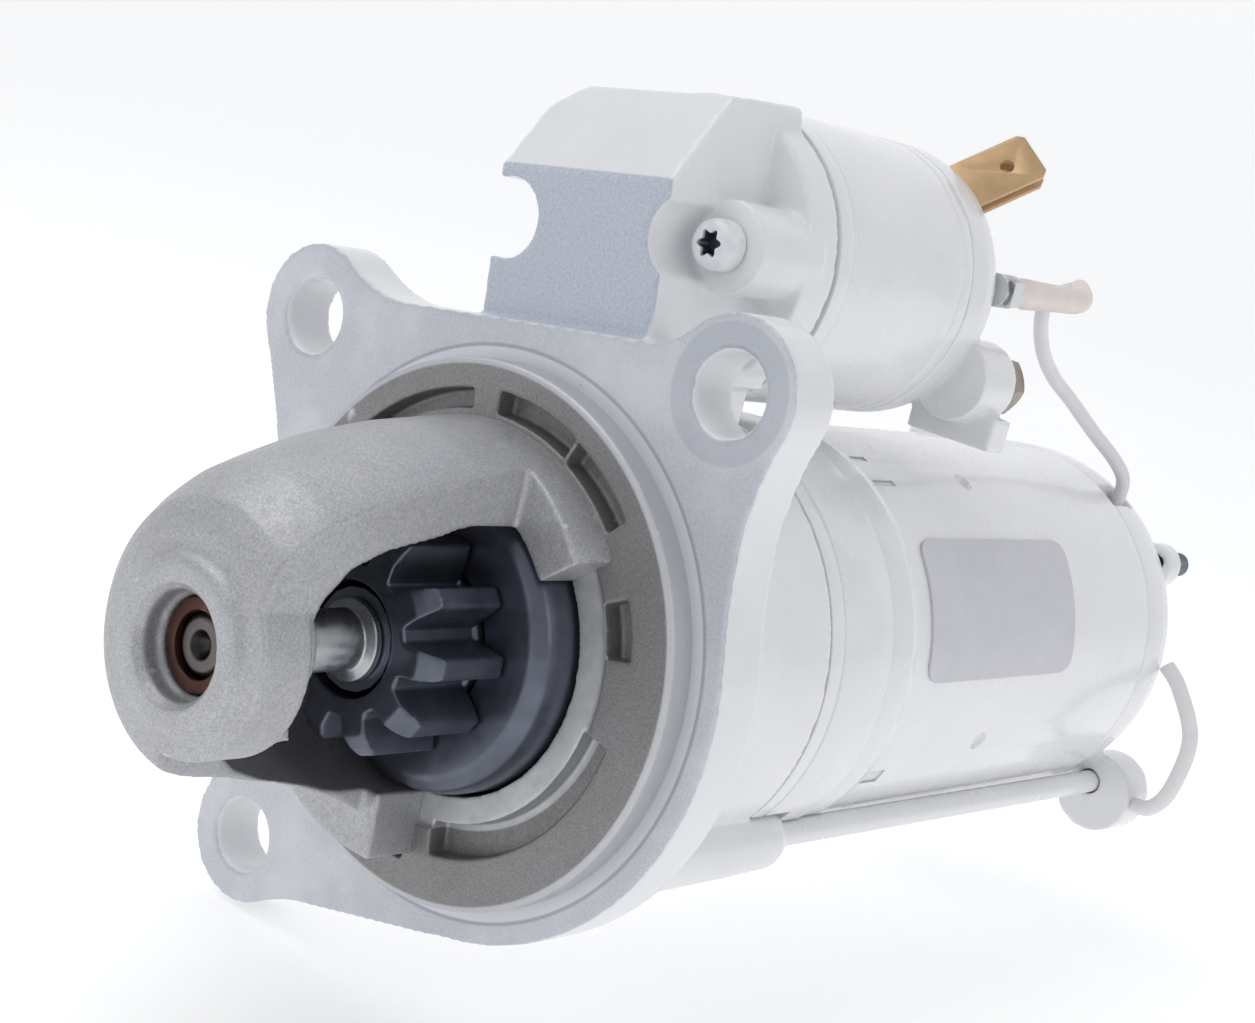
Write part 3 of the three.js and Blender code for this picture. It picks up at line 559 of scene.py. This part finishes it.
# ---- drive end housing ----
def flange_outline():
    rim, lobe = 50.4, 12.2
    points = arc(0, 0, rim, -80, 14, 30)
    right = arc(*RIGHT_HOLE, lobe, -20, 138, 26)
    points += bezier(points[-1], (45.3, 26.8), (45.1, 37.2), right[0]) + right
    points += bezier(points[-1], (23.2, 53.8), (20.4, 54.3), (14.5, 53.5))
    points += [(14.5, 53.5), (-30.4, 47.3)]
    left = arc(*LEFT_HOLE, lobe, 62, 208, 24)
    points += bezier(points[-1], (-35.4, 46.6), (-40.1, 47.2), left[0]) + left
    side = arc(0, 0, rim, 182, 205, 8)
    points += bezier(points[-1], (-58.1, 25.2), (-51, 14.2), side[0]) + side
    low = arc(*LOW_HOLE, lobe, 168, 300, 22)
    points += bezier(points[-1], (-42.3, -28.5), (-50.8, -40.1), low[0]) + low
    points += bezier(points[-1], (-31, -60.7), (-28, -59), (-23.5, -57.9))
    points += [(-23.5, -57.9), (0.1, -52)]
    points += bezier((0.1, -52), (3.1, -51.3), (5.9, -50.5), (8.7, -49.7), 4)
    return points


def lever_housing():
    profile = [(4, -22), (4, 8.1), (17, 23.2), (36, 24.4), (36, -22)]
    verts = [(x, y, SOLENOID_Z + h) for x in (-20.5, 14.8) for y, h in profile]
    faces = [[0, 1, 2, 3, 4], [9, 8, 7, 6, 5]]
    faces += [[i, i + 5, (i + 1) % 5 + 5, (i + 1) % 5] for i in range(5)]
    wedge = tilt(new_object("lever_housing", verts, faces))
    around = disc("round", 27.9, 3, 40, 0, SOLENOID_Z, 128)
    combine(wedge, around, "INTERSECT")
    join(wedge, disc("collar", 24.9, 29, 37, 0, SOLENOID_Z, 128),
         block("web", -17, 15, 4, 36, 30, 60))
    for x, seat in SCREWS.values():
        join(wedge, tilt(disc("boss", 7.4, seat, 33, x, SOLENOID_Z)))
        cut(wedge, tilt(disc("pocket", 6.6, 0, seat, x, SOLENOID_Z)))
    return wedge


def painted_casting():
    body = prism("end_casting", flange_outline(), 0, 10)
    barrel = lathe("barrel", [
        (0, 9), (47, 9), (45, 10.6), (43.4, 13), (42, 16), (41.2, 20), (40.4, 25), (40, 30),
        (39.7, 45.2), (0, 45.2)])
    join(body, barrel)
    for side in (-1, 1):
        rod = [(0, 9), (6.3, 9), (6, 40), (5.6, 54), (4.4, 56.6), (3, 57), (0, 57)]
        join(body, lathe("rod_boss", rod, -side * ROD_POS, side * ROD_POS, 48))
    cut(body, disc("ring_room", 34.8, 45.1, 60, steps=96))
    join(body, lever_housing())
    cut(body, disc("spigot_room", 41, -5, 3.5, steps=96), disc("bore", 34, 3, 46, steps=96),
        disc("lever_room", 36, 8, 33, steps=96), block("window", -10, 10, 8, 32, 25, 77),
        disc("plunger_room", 12.5, 16, 38, 0, SOLENOID_Z))
    for x, z in (RIGHT_HOLE, LEFT_HOLE, LOW_HOLE):
        cut(body, lathe("hole", [(0, -2), (7.3, -0.1), (6.4, 0.7), (6.4, 20), (0, 20)], x, z, 64))
    for side in (-1, 1):
        cut(body, disc("rod_hole", 2.7, 35, 60, -side * ROD_POS, side * ROD_POS, 32))
        cut(body, tilt(disc("screw_hole", 2.9, 5, 50, side * 18, SOLENOID_Z, 32)))
    return cast(body, 0.55, 4, 0.38)


place(shade(painted_casting(), 50), "housing", "housing_paint", FLANGE_PAINT,
      "drive_end_housing")

NOSE_RINGS = [
    (-62, 11.4, 0), (-61.7, 12.6, 0), (-60.4, 13.6, -0.1), (-60.1, 15, -0.2),
    (-59.8, 17, -0.1), (-59.2, 18.8, 0), (-57.5, 20.7, 0.8), (-54, 22.5, 1.6),
    (-50, 23.9, 2.5), (-45, 25, 3.2),
    (-40, 26.3, 3.5), (-35, 27.4, 3.9), (-30, 28.5, 3.8), (-22, 30.4, 3.3), (-14, 32.4, 2.1),
    (-4, 35.5, 0)]


def nose_outside(steps=160):
    verts, faces = [(0, -62, 0)], []
    lean = math.radians(100)
    for y, radius, lift in NOSE_RINGS:
        for i in range(steps):
            a = 2 * math.pi * i / steps
            verts.append((radius * math.cos(a) + lift * math.cos(lean), y,
                          radius * math.sin(a) + lift * math.sin(lean)))
    verts.append((0, -4, 0))
    for i in range(steps):
        j = (i + 1) % steps
        faces.append([0, 1 + i, 1 + j])
        for ring in range(len(NOSE_RINGS) - 1):
            low, high = 1 + ring * steps, 1 + (ring + 1) * steps
            faces.append([low + i, high + i, high + j, low + j])
        last = 1 + (len(NOSE_RINGS) - 1) * steps
        faces.append([last + j, last + i, len(verts) - 1])
    return new_object("nose_casting", verts, faces)


def nose_casting():
    nose = nose_outside()
    reach = [(13.5, 150), (13.5, -10), (-1, -10), (-1, -150), (150, -150), (150, 150)]
    cut(nose, prism("window", reach, -50.6, -12))
    flank = cut(prism("flank", reach, -63, -50.5), disc("neck", 16.5, -70, -40, steps=96))
    cut(nose, flank, prism("base", sector(60, 0.5, -86, 38), -12.1, -3))
    join(nose, prism("step", sector(37, 25.5, -118, -86), -15, -4))
    cut(nose, lathe("cavity", [
        (0, -50.6), (13, -50.6), (17, -48.4), (20.5, -44), (22.6, -38), (24.4, -28),
        (25.4, -24.5), (26, -20.5), (26, -3), (0, -3)]))
    join(nose, disc("bush_boss", 9.5, -51.6, -43))
    cut(nose, disc("bush_hole", 7.3, -61, -42), disc("mouth", 8, -64, -57.8),
        lathe("mouth_edge", [(0, -64), (9, -64), (9, -61.6), (7.9, -60.6), (0, -60.6)]))
    return cast(nose, 0.4, 8, 0.4)


place(shade(nose_casting(), 60), "housing", "cast_metal", CAST, "drive_end_housing")


def spigot():
    ring = lathe("spigot_ring", [
        (44.5, -4.6), (44.5, 3.5), (26, 3.5), (26, -4.2), (31.4, -4.2), (31.7, -5), (44, -5)],
        steps=192)
    for outer, inner, a0, a1 in ((39.6, 36.4, 101, 138), (40, 36.2, 68, 93),
                                 (39.8, 35.8, 45, 67), (36.6, 31.9, 13, 28),
                                 (35.8, 30.4, -80, -9), (38.6, 37, -101, -89)):
        cut(ring, prism("pocket", sector(outer, inner, a0, a1), -6, -1))
    return cast(ring, 0.32, 3, 0.35)


place(shade(spigot(), 50), "housing", "cast_metal", SPIGOT_METAL, "drive_end_housing")

bush = lathe("nose_bearing", soften([
    (7, -57.6), (7, -43.2), (4.95, -43.2), (4.95, -57.6)], 0.4), steps=64)
place(shade(bush), "housing", "bronze", BRONZE, "nose_bush")


# ---- shaft, pinion and clutch ----
def shaft():
    return lathe("drive_shaft", soften([
        (0, -54.2), (1.5, -56), (2.2, -57), (3.9, -57), (4.8, -56.1), (4.8, -54), (4.8, -29),
        (6.5, -28.2), (6.5, -27), (5.7, -27), (5.7, -25.6), (6.5, -25.6), (6.5, 31),
        (8, 31.4), (8, 44.6), (26, 44.8), (26, 49.4), (4.4, 49.4), (4.4, 47), (0, 47)], 0.3),
        steps=96)


drive = shaft()
for index in range(3):
    a = math.pi / 2 + index * 2 * math.pi / 3
    join(drive, disc("planet_pin", 3, 47, 62, 18.9 * math.cos(a), 18.9 * math.sin(a), 32))
place(shade(drive), "output", "steel", SHAFT_STEEL, "output_shaft")


def gear_outline(teeth, flank, phase):
    """flank: (radius, half width as a share of the pitch) from root to tip."""
    points = []
    pitch = 2 * math.pi / teeth
    for i in range(teeth):
        centre = math.radians(phase) + i * pitch
        for side in (-1, 1):
            for radius, share in (flank if side < 0 else flank[::-1]):
                a = centre + side * share * pitch
                points.append((radius * math.cos(a), radius * math.sin(a)))
    return points


def pinion():
    flank = [(11.85, 0.37), (12.6, 0.32), (14, 0.275), (15.4, 0.235), (16.8, 0.19),
             (17.6, 0.16), (18, 0.12)]
    teeth = prism("drive_pinion", gear_outline(10, flank, 4), -28, -12)
    lead_in = lathe("lead_in", [(0, -28), (14.8, -28), (16.6, -26.9), (18.4, -24.8),
                                (18.4, -12), (0, -12)])
    combine(teeth, lead_in, "INTERSECT")
    join(teeth, disc("race", 12.4, -12.5, 9, steps=64))
    cut(teeth, disc("bore", 6.9, -29, 10), disc("counterbore", 9.1, -29, -12.4))
    return cast(teeth, 0.26, 6, 0.45)


place(shade(pinion(), 50), "pinion", "dark_steel", DARK_STEEL, "pinion")
drum = lathe("clutch_drum", soften([
    (22.6, -11.6), (24.6, -10), (25.4, -7), (25.4, 11), (24, 12), (10.5, 12), (10.5, 29),
    (6.85, 29), (6.85, 9.4), (19.6, 9.4), (19.6, -9.6), (12.9, -9.6), (12.9, -11.6)], 0.8),
    steps=160)
place(shade(drum), "clutch", "dark_steel", DARK_STEEL, "clutch_shell")


# ---- motor ----
def rod_spaces(radius, y0, y1):
    return [disc("rod_space", radius, y0, y1, -side * ROD_POS, side * ROD_POS, 48)
            for side in (-1, 1)]


gear_ring = lathe("gear_ring", soften([
    (39.6, 45.7), (39.6, 49.2), (39.2, 49.4), (39.2, 49.8), (39.6, 50), (39.6, 64.8),
    (9, 64.8), (9, 63.4), (34.8, 63.4), (34.8, 45.7)], 0.35), steps=192)
cut(gear_ring, *rod_spaces(6.4, 45, 57.4), *rod_spaces(2.8, 50, 66))
place(shade(gear_ring), "housing", "housing_paint", PAINT, "gear_housing")

yoke = lathe("motor_body", soften([
    (39, 65.5), (39, 72.6), (38.3, 75.2), (38.3, 167.1), (37.9, 167.5), (34.6, 167.5),
    (34.6, 65.5)], 0.5), steps=256)
cut(yoke, *rod_spaces(2.75, 60, 180))
for low, high, y0, y1 in ((-30, -25, 75.5, 81), (60, 62, 76, 83), (70, 72, 76, 81)):
    cut(yoke, prism("slot", sector(45, 38, low, high, 6), y0, y1))
for angle in (63, -18, 153, 243):
    a = math.radians(angle)
    dimple = lathe("dimple", [(0, -1), (1.5, -1), (3.2, 1), (0, 1)], steps=32)
    dimple.data.transform(Matrix.Rotation(math.radians(-90), 4, "Z"))
    dimple.data.transform(Matrix.Translation(((YOKE_R + 0.2) * MM, 109.5 * MM, 0)))
    dimple.data.transform(Matrix.Rotation(-a, 4, "Y"))
    cut(yoke, dimple)
place(shade(yoke), "housing", "housing_paint", PAINT, "yoke")


def label():
    """A blank label that follows the motor body, with rounded corners."""
    verts, faces = [], []
    y0, y1, a0, a1, corner = 79.5, 133.5, 3, 42.5, 3.5
    across, along = 40, 40
    for r in (YOKE_R + 0.05, YOKE_R + 0.5):
        for i in range(across + 1):
            angle = a0 + (a1 - a0) * i / across
            arc_gap = min(angle - a0, a1 - angle) * math.radians(1) * YOKE_R
            inset = 0.0
            if arc_gap < corner:
                inset = corner - math.sqrt(max(0, corner ** 2 - (corner - arc_gap) ** 2))
            for j in range(along + 1):
                y = y0 + inset + (y1 - y0 - 2 * inset) * j / along
                a = math.radians(angle)
                verts.append((r * math.cos(a), y, r * math.sin(a)))
    row = along + 1
    top = (across + 1) * row
    for i in range(across):
        for j in range(along):
            k = i * row + j
            faces.append([k, k + 1, k + row + 1, k + row])
            faces.append([top + k + row, top + k + row + 1, top + k + 1, top + k])
    edge = [j for j in range(row)] + [i * row + along for i in range(1, across + 1)]
    edge += [across * row + j for j in range(along - 1, -1, -1)]
    edge += [i * row for i in range(across - 1, 0, -1)]
    for k, here in enumerate(edge):
        after = edge[(k + 1) % len(edge)]
        faces.append([after, here, top + here, top + after])
    return new_object("blank_label", verts, faces)


place(shade(label(), 40), "housing", "label", LABEL, "label_plate")


def rear_cover():
    cover = lathe("rear_casting", [
        (0, 188.2), (8, 188.2), (8, 183), (30, 183), (33.4, 178), (34.8, 173.4), (35.4, 167.9),
        (38, 167.9), (38, 172), (37.8, 175.6), (36.9, 179.6), (35.4, 182.6), (33.2, 184.9),
        (30, 186.5), (26, 187.6), (13.2, 188.4), (12.2, 190), (0, 190)], steps=160)
    for side in (-1, 1):
        x, z = -side * ROD_POS * 1.06, side * ROD_POS * 1.06
        ear = disc("ear", 8.6, 179, 189, x, z)
        join(cover, cut(ear, disc("inside", 33.4, 170, 183.1, steps=96)))
    cut(cover, *rod_spaces(2.7, 160, 195))
    join(cover, disc("stud_boss", 4.8, 183.1, 188.8, *REAR_STUD))
    cut(cover, disc("stud_hole", 2.9, 182, 190, *REAR_STUD, 32),
        block("lead_slot", 15.6, 20.6, 168, 177.8, 30, 40))
    return cast(cover, 0.5, 5, 0.4)


place(shade(rear_cover(), 50), "housing", "housing_paint", PAINT, "rear_cover")


def threaded(name, radius, y0, y1, x, z, pitch=1.0):
    """A threaded bar whose end is chamfered."""
    depth = 0.07 * radius + 0.1
    profile = [(0, y0), (radius - depth, y0)]
    y = y0 + 0.2
    while y < y1 - pitch:
        profile += [(radius - depth, y), (radius, y + pitch * 0.4), (radius, y + pitch * 0.6)]
        y += pitch
    profile += [(radius - depth, y), (radius - depth, y1 - 0.6), (radius - depth - 0.6, y1),
                (0, y1)]
    return lathe(name, profile, x, z, 48)


def hexagon(name, across_flats, y0, y1, x, z, bore=0):
    """A nut or bolt head with its corners turned off."""
    corner = across_flats / math.sqrt(3)
    nut = prism(name, [(x + px, z + pz) for px, pz in arc(0, 0, corner, 0, 300, 5)], y0, y1)
    side = across_flats / 2
    cone = lathe("turned_off", [(0, y0 - 0.01), (side * 0.97, y0 - 0.01), (corner, y0 + 1),
                                (corner, y1 - 1), (side * 0.97, y1 + 0.01), (0, y1 + 0.01)],
                 x, z, 96)
    combine(nut, cone, "INTERSECT")
    if bore:
        cut(nut, disc("bore", bore, y0 - 1, y1 + 1, x, z, 48))
    return nut


for which, side in (("upper", 1), ("lower", -1)):
    x, z = -side * ROD_POS, side * ROD_POS
    rod = lathe(f"long_bolt_{which}", soften([
        (0, 38), (2.4, 38), (2.4, 189), (3.9, 189), (3.9, 190.2), (0, 190.2)], 0.3), x, z, 48)
    join(rod, hexagon("head", 8, 189.6, 194, x, z))
    place(shade(rod), "housing", "housing_paint", PAINT, f"tie_rod_{which}")
rear = threaded("support_stud", 2.6, 183.2, 197.5, *REAR_STUD)
place(shade(rear), "housing", "dark_steel", STUD_STEEL, "rear_stud")

# ---- solenoid ----
can = lathe("solenoid_body", soften([
    (25.2, 37.5), (25.2, 40.8), (24.8, 41.2), (24.8, 41.7), (24.9, 42), (24.9, 76.4),
    (24.7, 76.8), (24.9, 77.2), (24.9, 80), (22.9, 80), (22.9, 41), (9.6, 41), (9.6, 37.5)],
    0.3), 0, SOLENOID_Z, 192)
for x, seat in SCREWS.values():
    cut(can, tilt(disc("screw_hole", 2.9, 30, 42, x, SOLENOID_Z, 32)))
place(shade(can), "housing", "housing_paint", PAINT, "solenoid_can")


def solenoid_cap():
    cap = lathe("solenoid_end", [
        (24.9, 80.3), (24.9, 85.6), (24.5, 88.2), (23.4, 90.8), (21.6, 93), (19, 94.8),
        (15.6, 95.8), (12, 96), (0, 96), (0, 93.5), (17, 93.5), (21.4, 88), (21.4, 80.3)][::-1],
        0, SOLENOID_Z, 160)
    for (x, z), radius, y0 in ((M_TERMINAL, 7.6, 86), (BATTERY_TERMINAL, 7, 88)):
        boss = disc("boss", radius, y0, 97, x, z)
        join(cap, cut(boss, disc("inside", 20, 80, 93, 0, SOLENOID_Z)))
    join(cap, block("foot", 13, 31, 90.5, 96.4, 43.4, 49.4))
    cut(cap, disc("hole", 3.3, 90.2, 99, *M_TERMINAL), disc("hole", 4.3, 90.2, 99,
                                                            *BATTERY_TERMINAL))
    return cast(cap, 0.4, 5, 0.4)


place(shade(solenoid_cap(), 50), "housing", "housing_paint", PAINT, "solenoid_cap")

def helix(radius, y0, y1, turns, z, steps=24):
    points = []
    for i in range(turns * steps + 1):
        a = 2 * math.pi * i / steps
        y = y0 + (y1 - y0) * i / (turns * steps)
        points.append((radius * math.cos(a), y, z + radius * math.sin(a)))
    return points


spring = tube("plunger_spring", helix(7.4, 51, 64.8, 5, SOLENOID_Z), 0.7, 2)
place(shade(spring), "housing", "steel", STEEL, "return_spring")
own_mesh(spring)

for name, radius, end, spot in (("motor", 3, 108, M_TERMINAL),
                                ("battery", 4, 113, BATTERY_TERMINAL)):
    bolt = threaded(f"{name}_stud", radius, 91, end, *spot)
    out = math.degrees(math.atan2(spot[1] - SOLENOID_Z, spot[0]))
    bar = [(x, z + SOLENOID_Z) for x, z in sector(27, 6, out - 10, out + 10, 8)]
    join(bolt, prism("contact_bar", bar, 90.2, 92))
    place(shade(bolt), "housing", "copper", COPPER, f"{name}_terminal")
for name, flats, y0, y1, bore, spot in (
        ("motor", 10, 100.2, 104.6, 3.2, M_TERMINAL),
        ("battery", 13, 97.4, 103, 4.2, BATTERY_TERMINAL)):
    nut = hexagon(f"{name}_nut", flats, y0, y1, *spot, bore)
    place(shade(nut), "housing", "steel", WORN_NUT, f"{name}_terminal_nut")


def torx(radius, points=12):
    outline = []
    for i in range(6 * points):
        a = 2 * math.pi * i / (6 * points)
        r = radius * (0.84 + 0.16 * math.cos(6 * a))
        outline.append((r * math.cos(a), r * math.sin(a)))
    return outline


def socket_paint():
    """Gloss paint on the screw heads, with painted shade, near black, inside their sockets."""
    m = Nodes("screw_paint")
    near = [m.distance(x * math.cos(LEVER_TILT), SOLENOID_Z + x * math.sin(LEVER_TILT))
            for x, _ in SCREWS.values()]
    depth = m.step(m.along(1), 11.7, 12)
    # Painted shade: the inside of each socket near black with a bluish tint.
    socket_shade = m.math("MULTIPLY", m.step(m.math("MINIMUM", *near), 2.45, 2.2), depth)
    white = m.mix(m.step(m.noise(2, 3), 0.35, 0.7), (0.72, 0.73, 0.76), (0.84, 0.84, 0.86))
    colour = m.mix(socket_shade, white, (0.05, 0.06, 0.09))
    m.bump(m.noise(0.6, 3), 0.1, 0.04)
    return m.finish(colour, m.step(m.noise(3, 3), 0.3, 0.7, 0.25, 0.4))


SCREW_PAINT = socket_paint()
for which, (x, seat) in SCREWS.items():
    screw = lathe(f"screw_{which}", soften([
        (0, seat - 4.5), (3, seat - 4.5), (3.8, seat - 3.9), (4.1, seat - 2.8),
        (4.15, seat - 0.1), (2.5, seat - 0.1), (2.5, 40.5), (0, 40.5)], 0.3), x, SOLENOID_Z, 64)
    star = [(x + px, SOLENOID_Z + pz) for px, pz in torx(2.35)]
    cut(screw, prism("socket", star, seat - 6, seat - 1.6))
    place(shade(tilt(screw)), "housing", "steel", SCREW_PAINT, f"solenoid_screw_{which}")


def spade():
    outline = [(-4.9, -3.5), (4.9, -3.5), (4.9, 12), (3.9, 13.2), (-3.9, 13.2), (-4.9, 12)]
    sheets = []
    for offset in (0, -3.2):
        sheet = prism("spade", outline, offset, offset + 1)
        cut(sheet, disc("hole", 1.3, offset - 1, offset + 2, 0, 7.2, 32))
        sheets.append(sheet)
    blade = join(sheets[0], sheets[1], block("foot", -4.9, 4.9, -3.2, 1, -3.9, -1.3))
    # the outline's y becomes the blade's thickness and its z the blade's length
    across = Vector((0.8, 0, -0.6))
    along = Vector((0.42, 0.68, 0.6))
    along = (along - across * along.dot(across)).normalized()
    normal = across.cross(along)
    turn = Matrix((across, normal, along)).transposed().to_4x4()
    blade.data.transform(Matrix.Translation(Vector((11.8, 91.8, 88.6)) * MM) @ turn)
    blade.name = "spade_blades"
    bevel = blade.modifiers.new("edge", "BEVEL")
    bevel.width = 0.15 * MM
    bevel.segments = 2
    return apply_modifiers(blade)


place(shade(spade()), "housing", "terminal_brass", TERMINAL, "spade_terminal")


# ---- leads ----
MOTOR_LEAD = [
    (20.8, 95.6, 71.5), (21.4, 104, 71.7), (21.8, 115, 72), (21.4, 126, 72.5),
    (17, 133, 74.5), (12, 131, 70), (9, 139, 62), (7.5, 150, 55.5), (8.5, 160, 50.5),
    (12, 167, 45), (16.4, 172.2, 40), (18, 175.2, 36), (17.6, 175.6, 30.5)]
cable = tube("motor_cable", MOTOR_LEAD, 1.5)
place(shade(cable), "housing", "insulation", INSULATION, "motor_lead")
sleeve = tube("motor_lead_sleeve", MOTOR_LEAD[:5], [2.1, 2.9, 2.6, 2.5, 1.8])
place(shade(sleeve), "housing", "insulation", SLEEVE, "motor_lead")
clip = tube("lead_clip", [(20.8, 94.2, 71.5), (20.9, 96, 71.5), (21.2, 99.4, 71.6)], 3.1, 2)
join(clip, block("clip_tongue", 17.4, 24.4, 95.4, 98.6, 69.2, 73.8))
place(shade(clip), "housing", "steel", STEEL, "motor_lead")
EARTH_LEAD = [
    (38, 180, 1.2), (42.5, 180, -2.7), (48.1, 180, -12), (47.2, 180.4, -23.8),
    (43.8, 181.4, -29.4), (39.9, 182, -30.6)]
loop = tube("earth_cable", EARTH_LEAD, 1.7)
place(shade(loop), "housing", "insulation", INSULATION, "earth_lead")


# ---- floor, light ----
def backdrop():
    """A pale floor that sweeps up into a wall behind the motor."""
    floor = cad_box[0][2] / MM - 1
    profile = [(-1500, floor), (1400, floor)]
    profile += [(1400 + 600 * math.sin(a), floor + 600 * (1 - math.cos(a)))
                for a in [math.radians(6 * i) for i in range(1, 16)]]
    profile.append((2000, 3000))
    verts = [(x, y, z) for x in (-3500, 3500) for y, z in profile]
    n = len(profile)
    faces = [[i, i + n, i + n + 1, i + 1] for i in range(n - 1)]
    sheet = shade(new_object("backdrop", verts, faces), 60)
    m = Nodes("backdrop")
    m.shader.inputs["Emission Color"].default_value = (1, 1, 1, 1)
    m.shader.inputs["Emission Strength"].default_value = 0.3
    paper = m.mix(m.noise(3, 3), (0.9, 0.9, 0.9), (0.93, 0.93, 0.93))
    sheet.data.materials.append(m.finish(paper, 0.95))
    sheet.data.transform(Matrix.Rotation(math.radians(37), 4, "Z"))


backdrop()


def area_light(name, location, size, power, target=(0, 0.05, 0.02)):
    data = bpy.data.lights.new(name, "AREA")
    data.shape = "RECTANGLE"
    data.size, data.size_y = size
    data.energy = power
    light = bpy.data.objects.new(name, data)
    light.location = location
    aim = Vector(target) - Vector(location)
    light.rotation_euler = aim.to_track_quat("-Z", "Y").to_euler()
    bpy.context.scene.collection.objects.link(light)


area_light("key", (-0.3, -0.25, 1.0), (0.8, 0.8), 3.2)
area_light("side", (1.1, 0.2, 0.6), (0.6, 0.8), 1.6)
area_light("front", (-0.3, -1.3, 0.5), (0.8, 0.6), 0.9)
world = bpy.data.worlds.new("studio")
bpy.context.scene.world = world
world.use_nodes = True
world.node_tree.nodes["Background"].inputs["Color"].default_value = (0.95, 0.97, 1, 1)
world.node_tree.nodes["Background"].inputs["Strength"].default_value = 0.55
bpy.context.scene.view_settings.view_transform = "Standard"
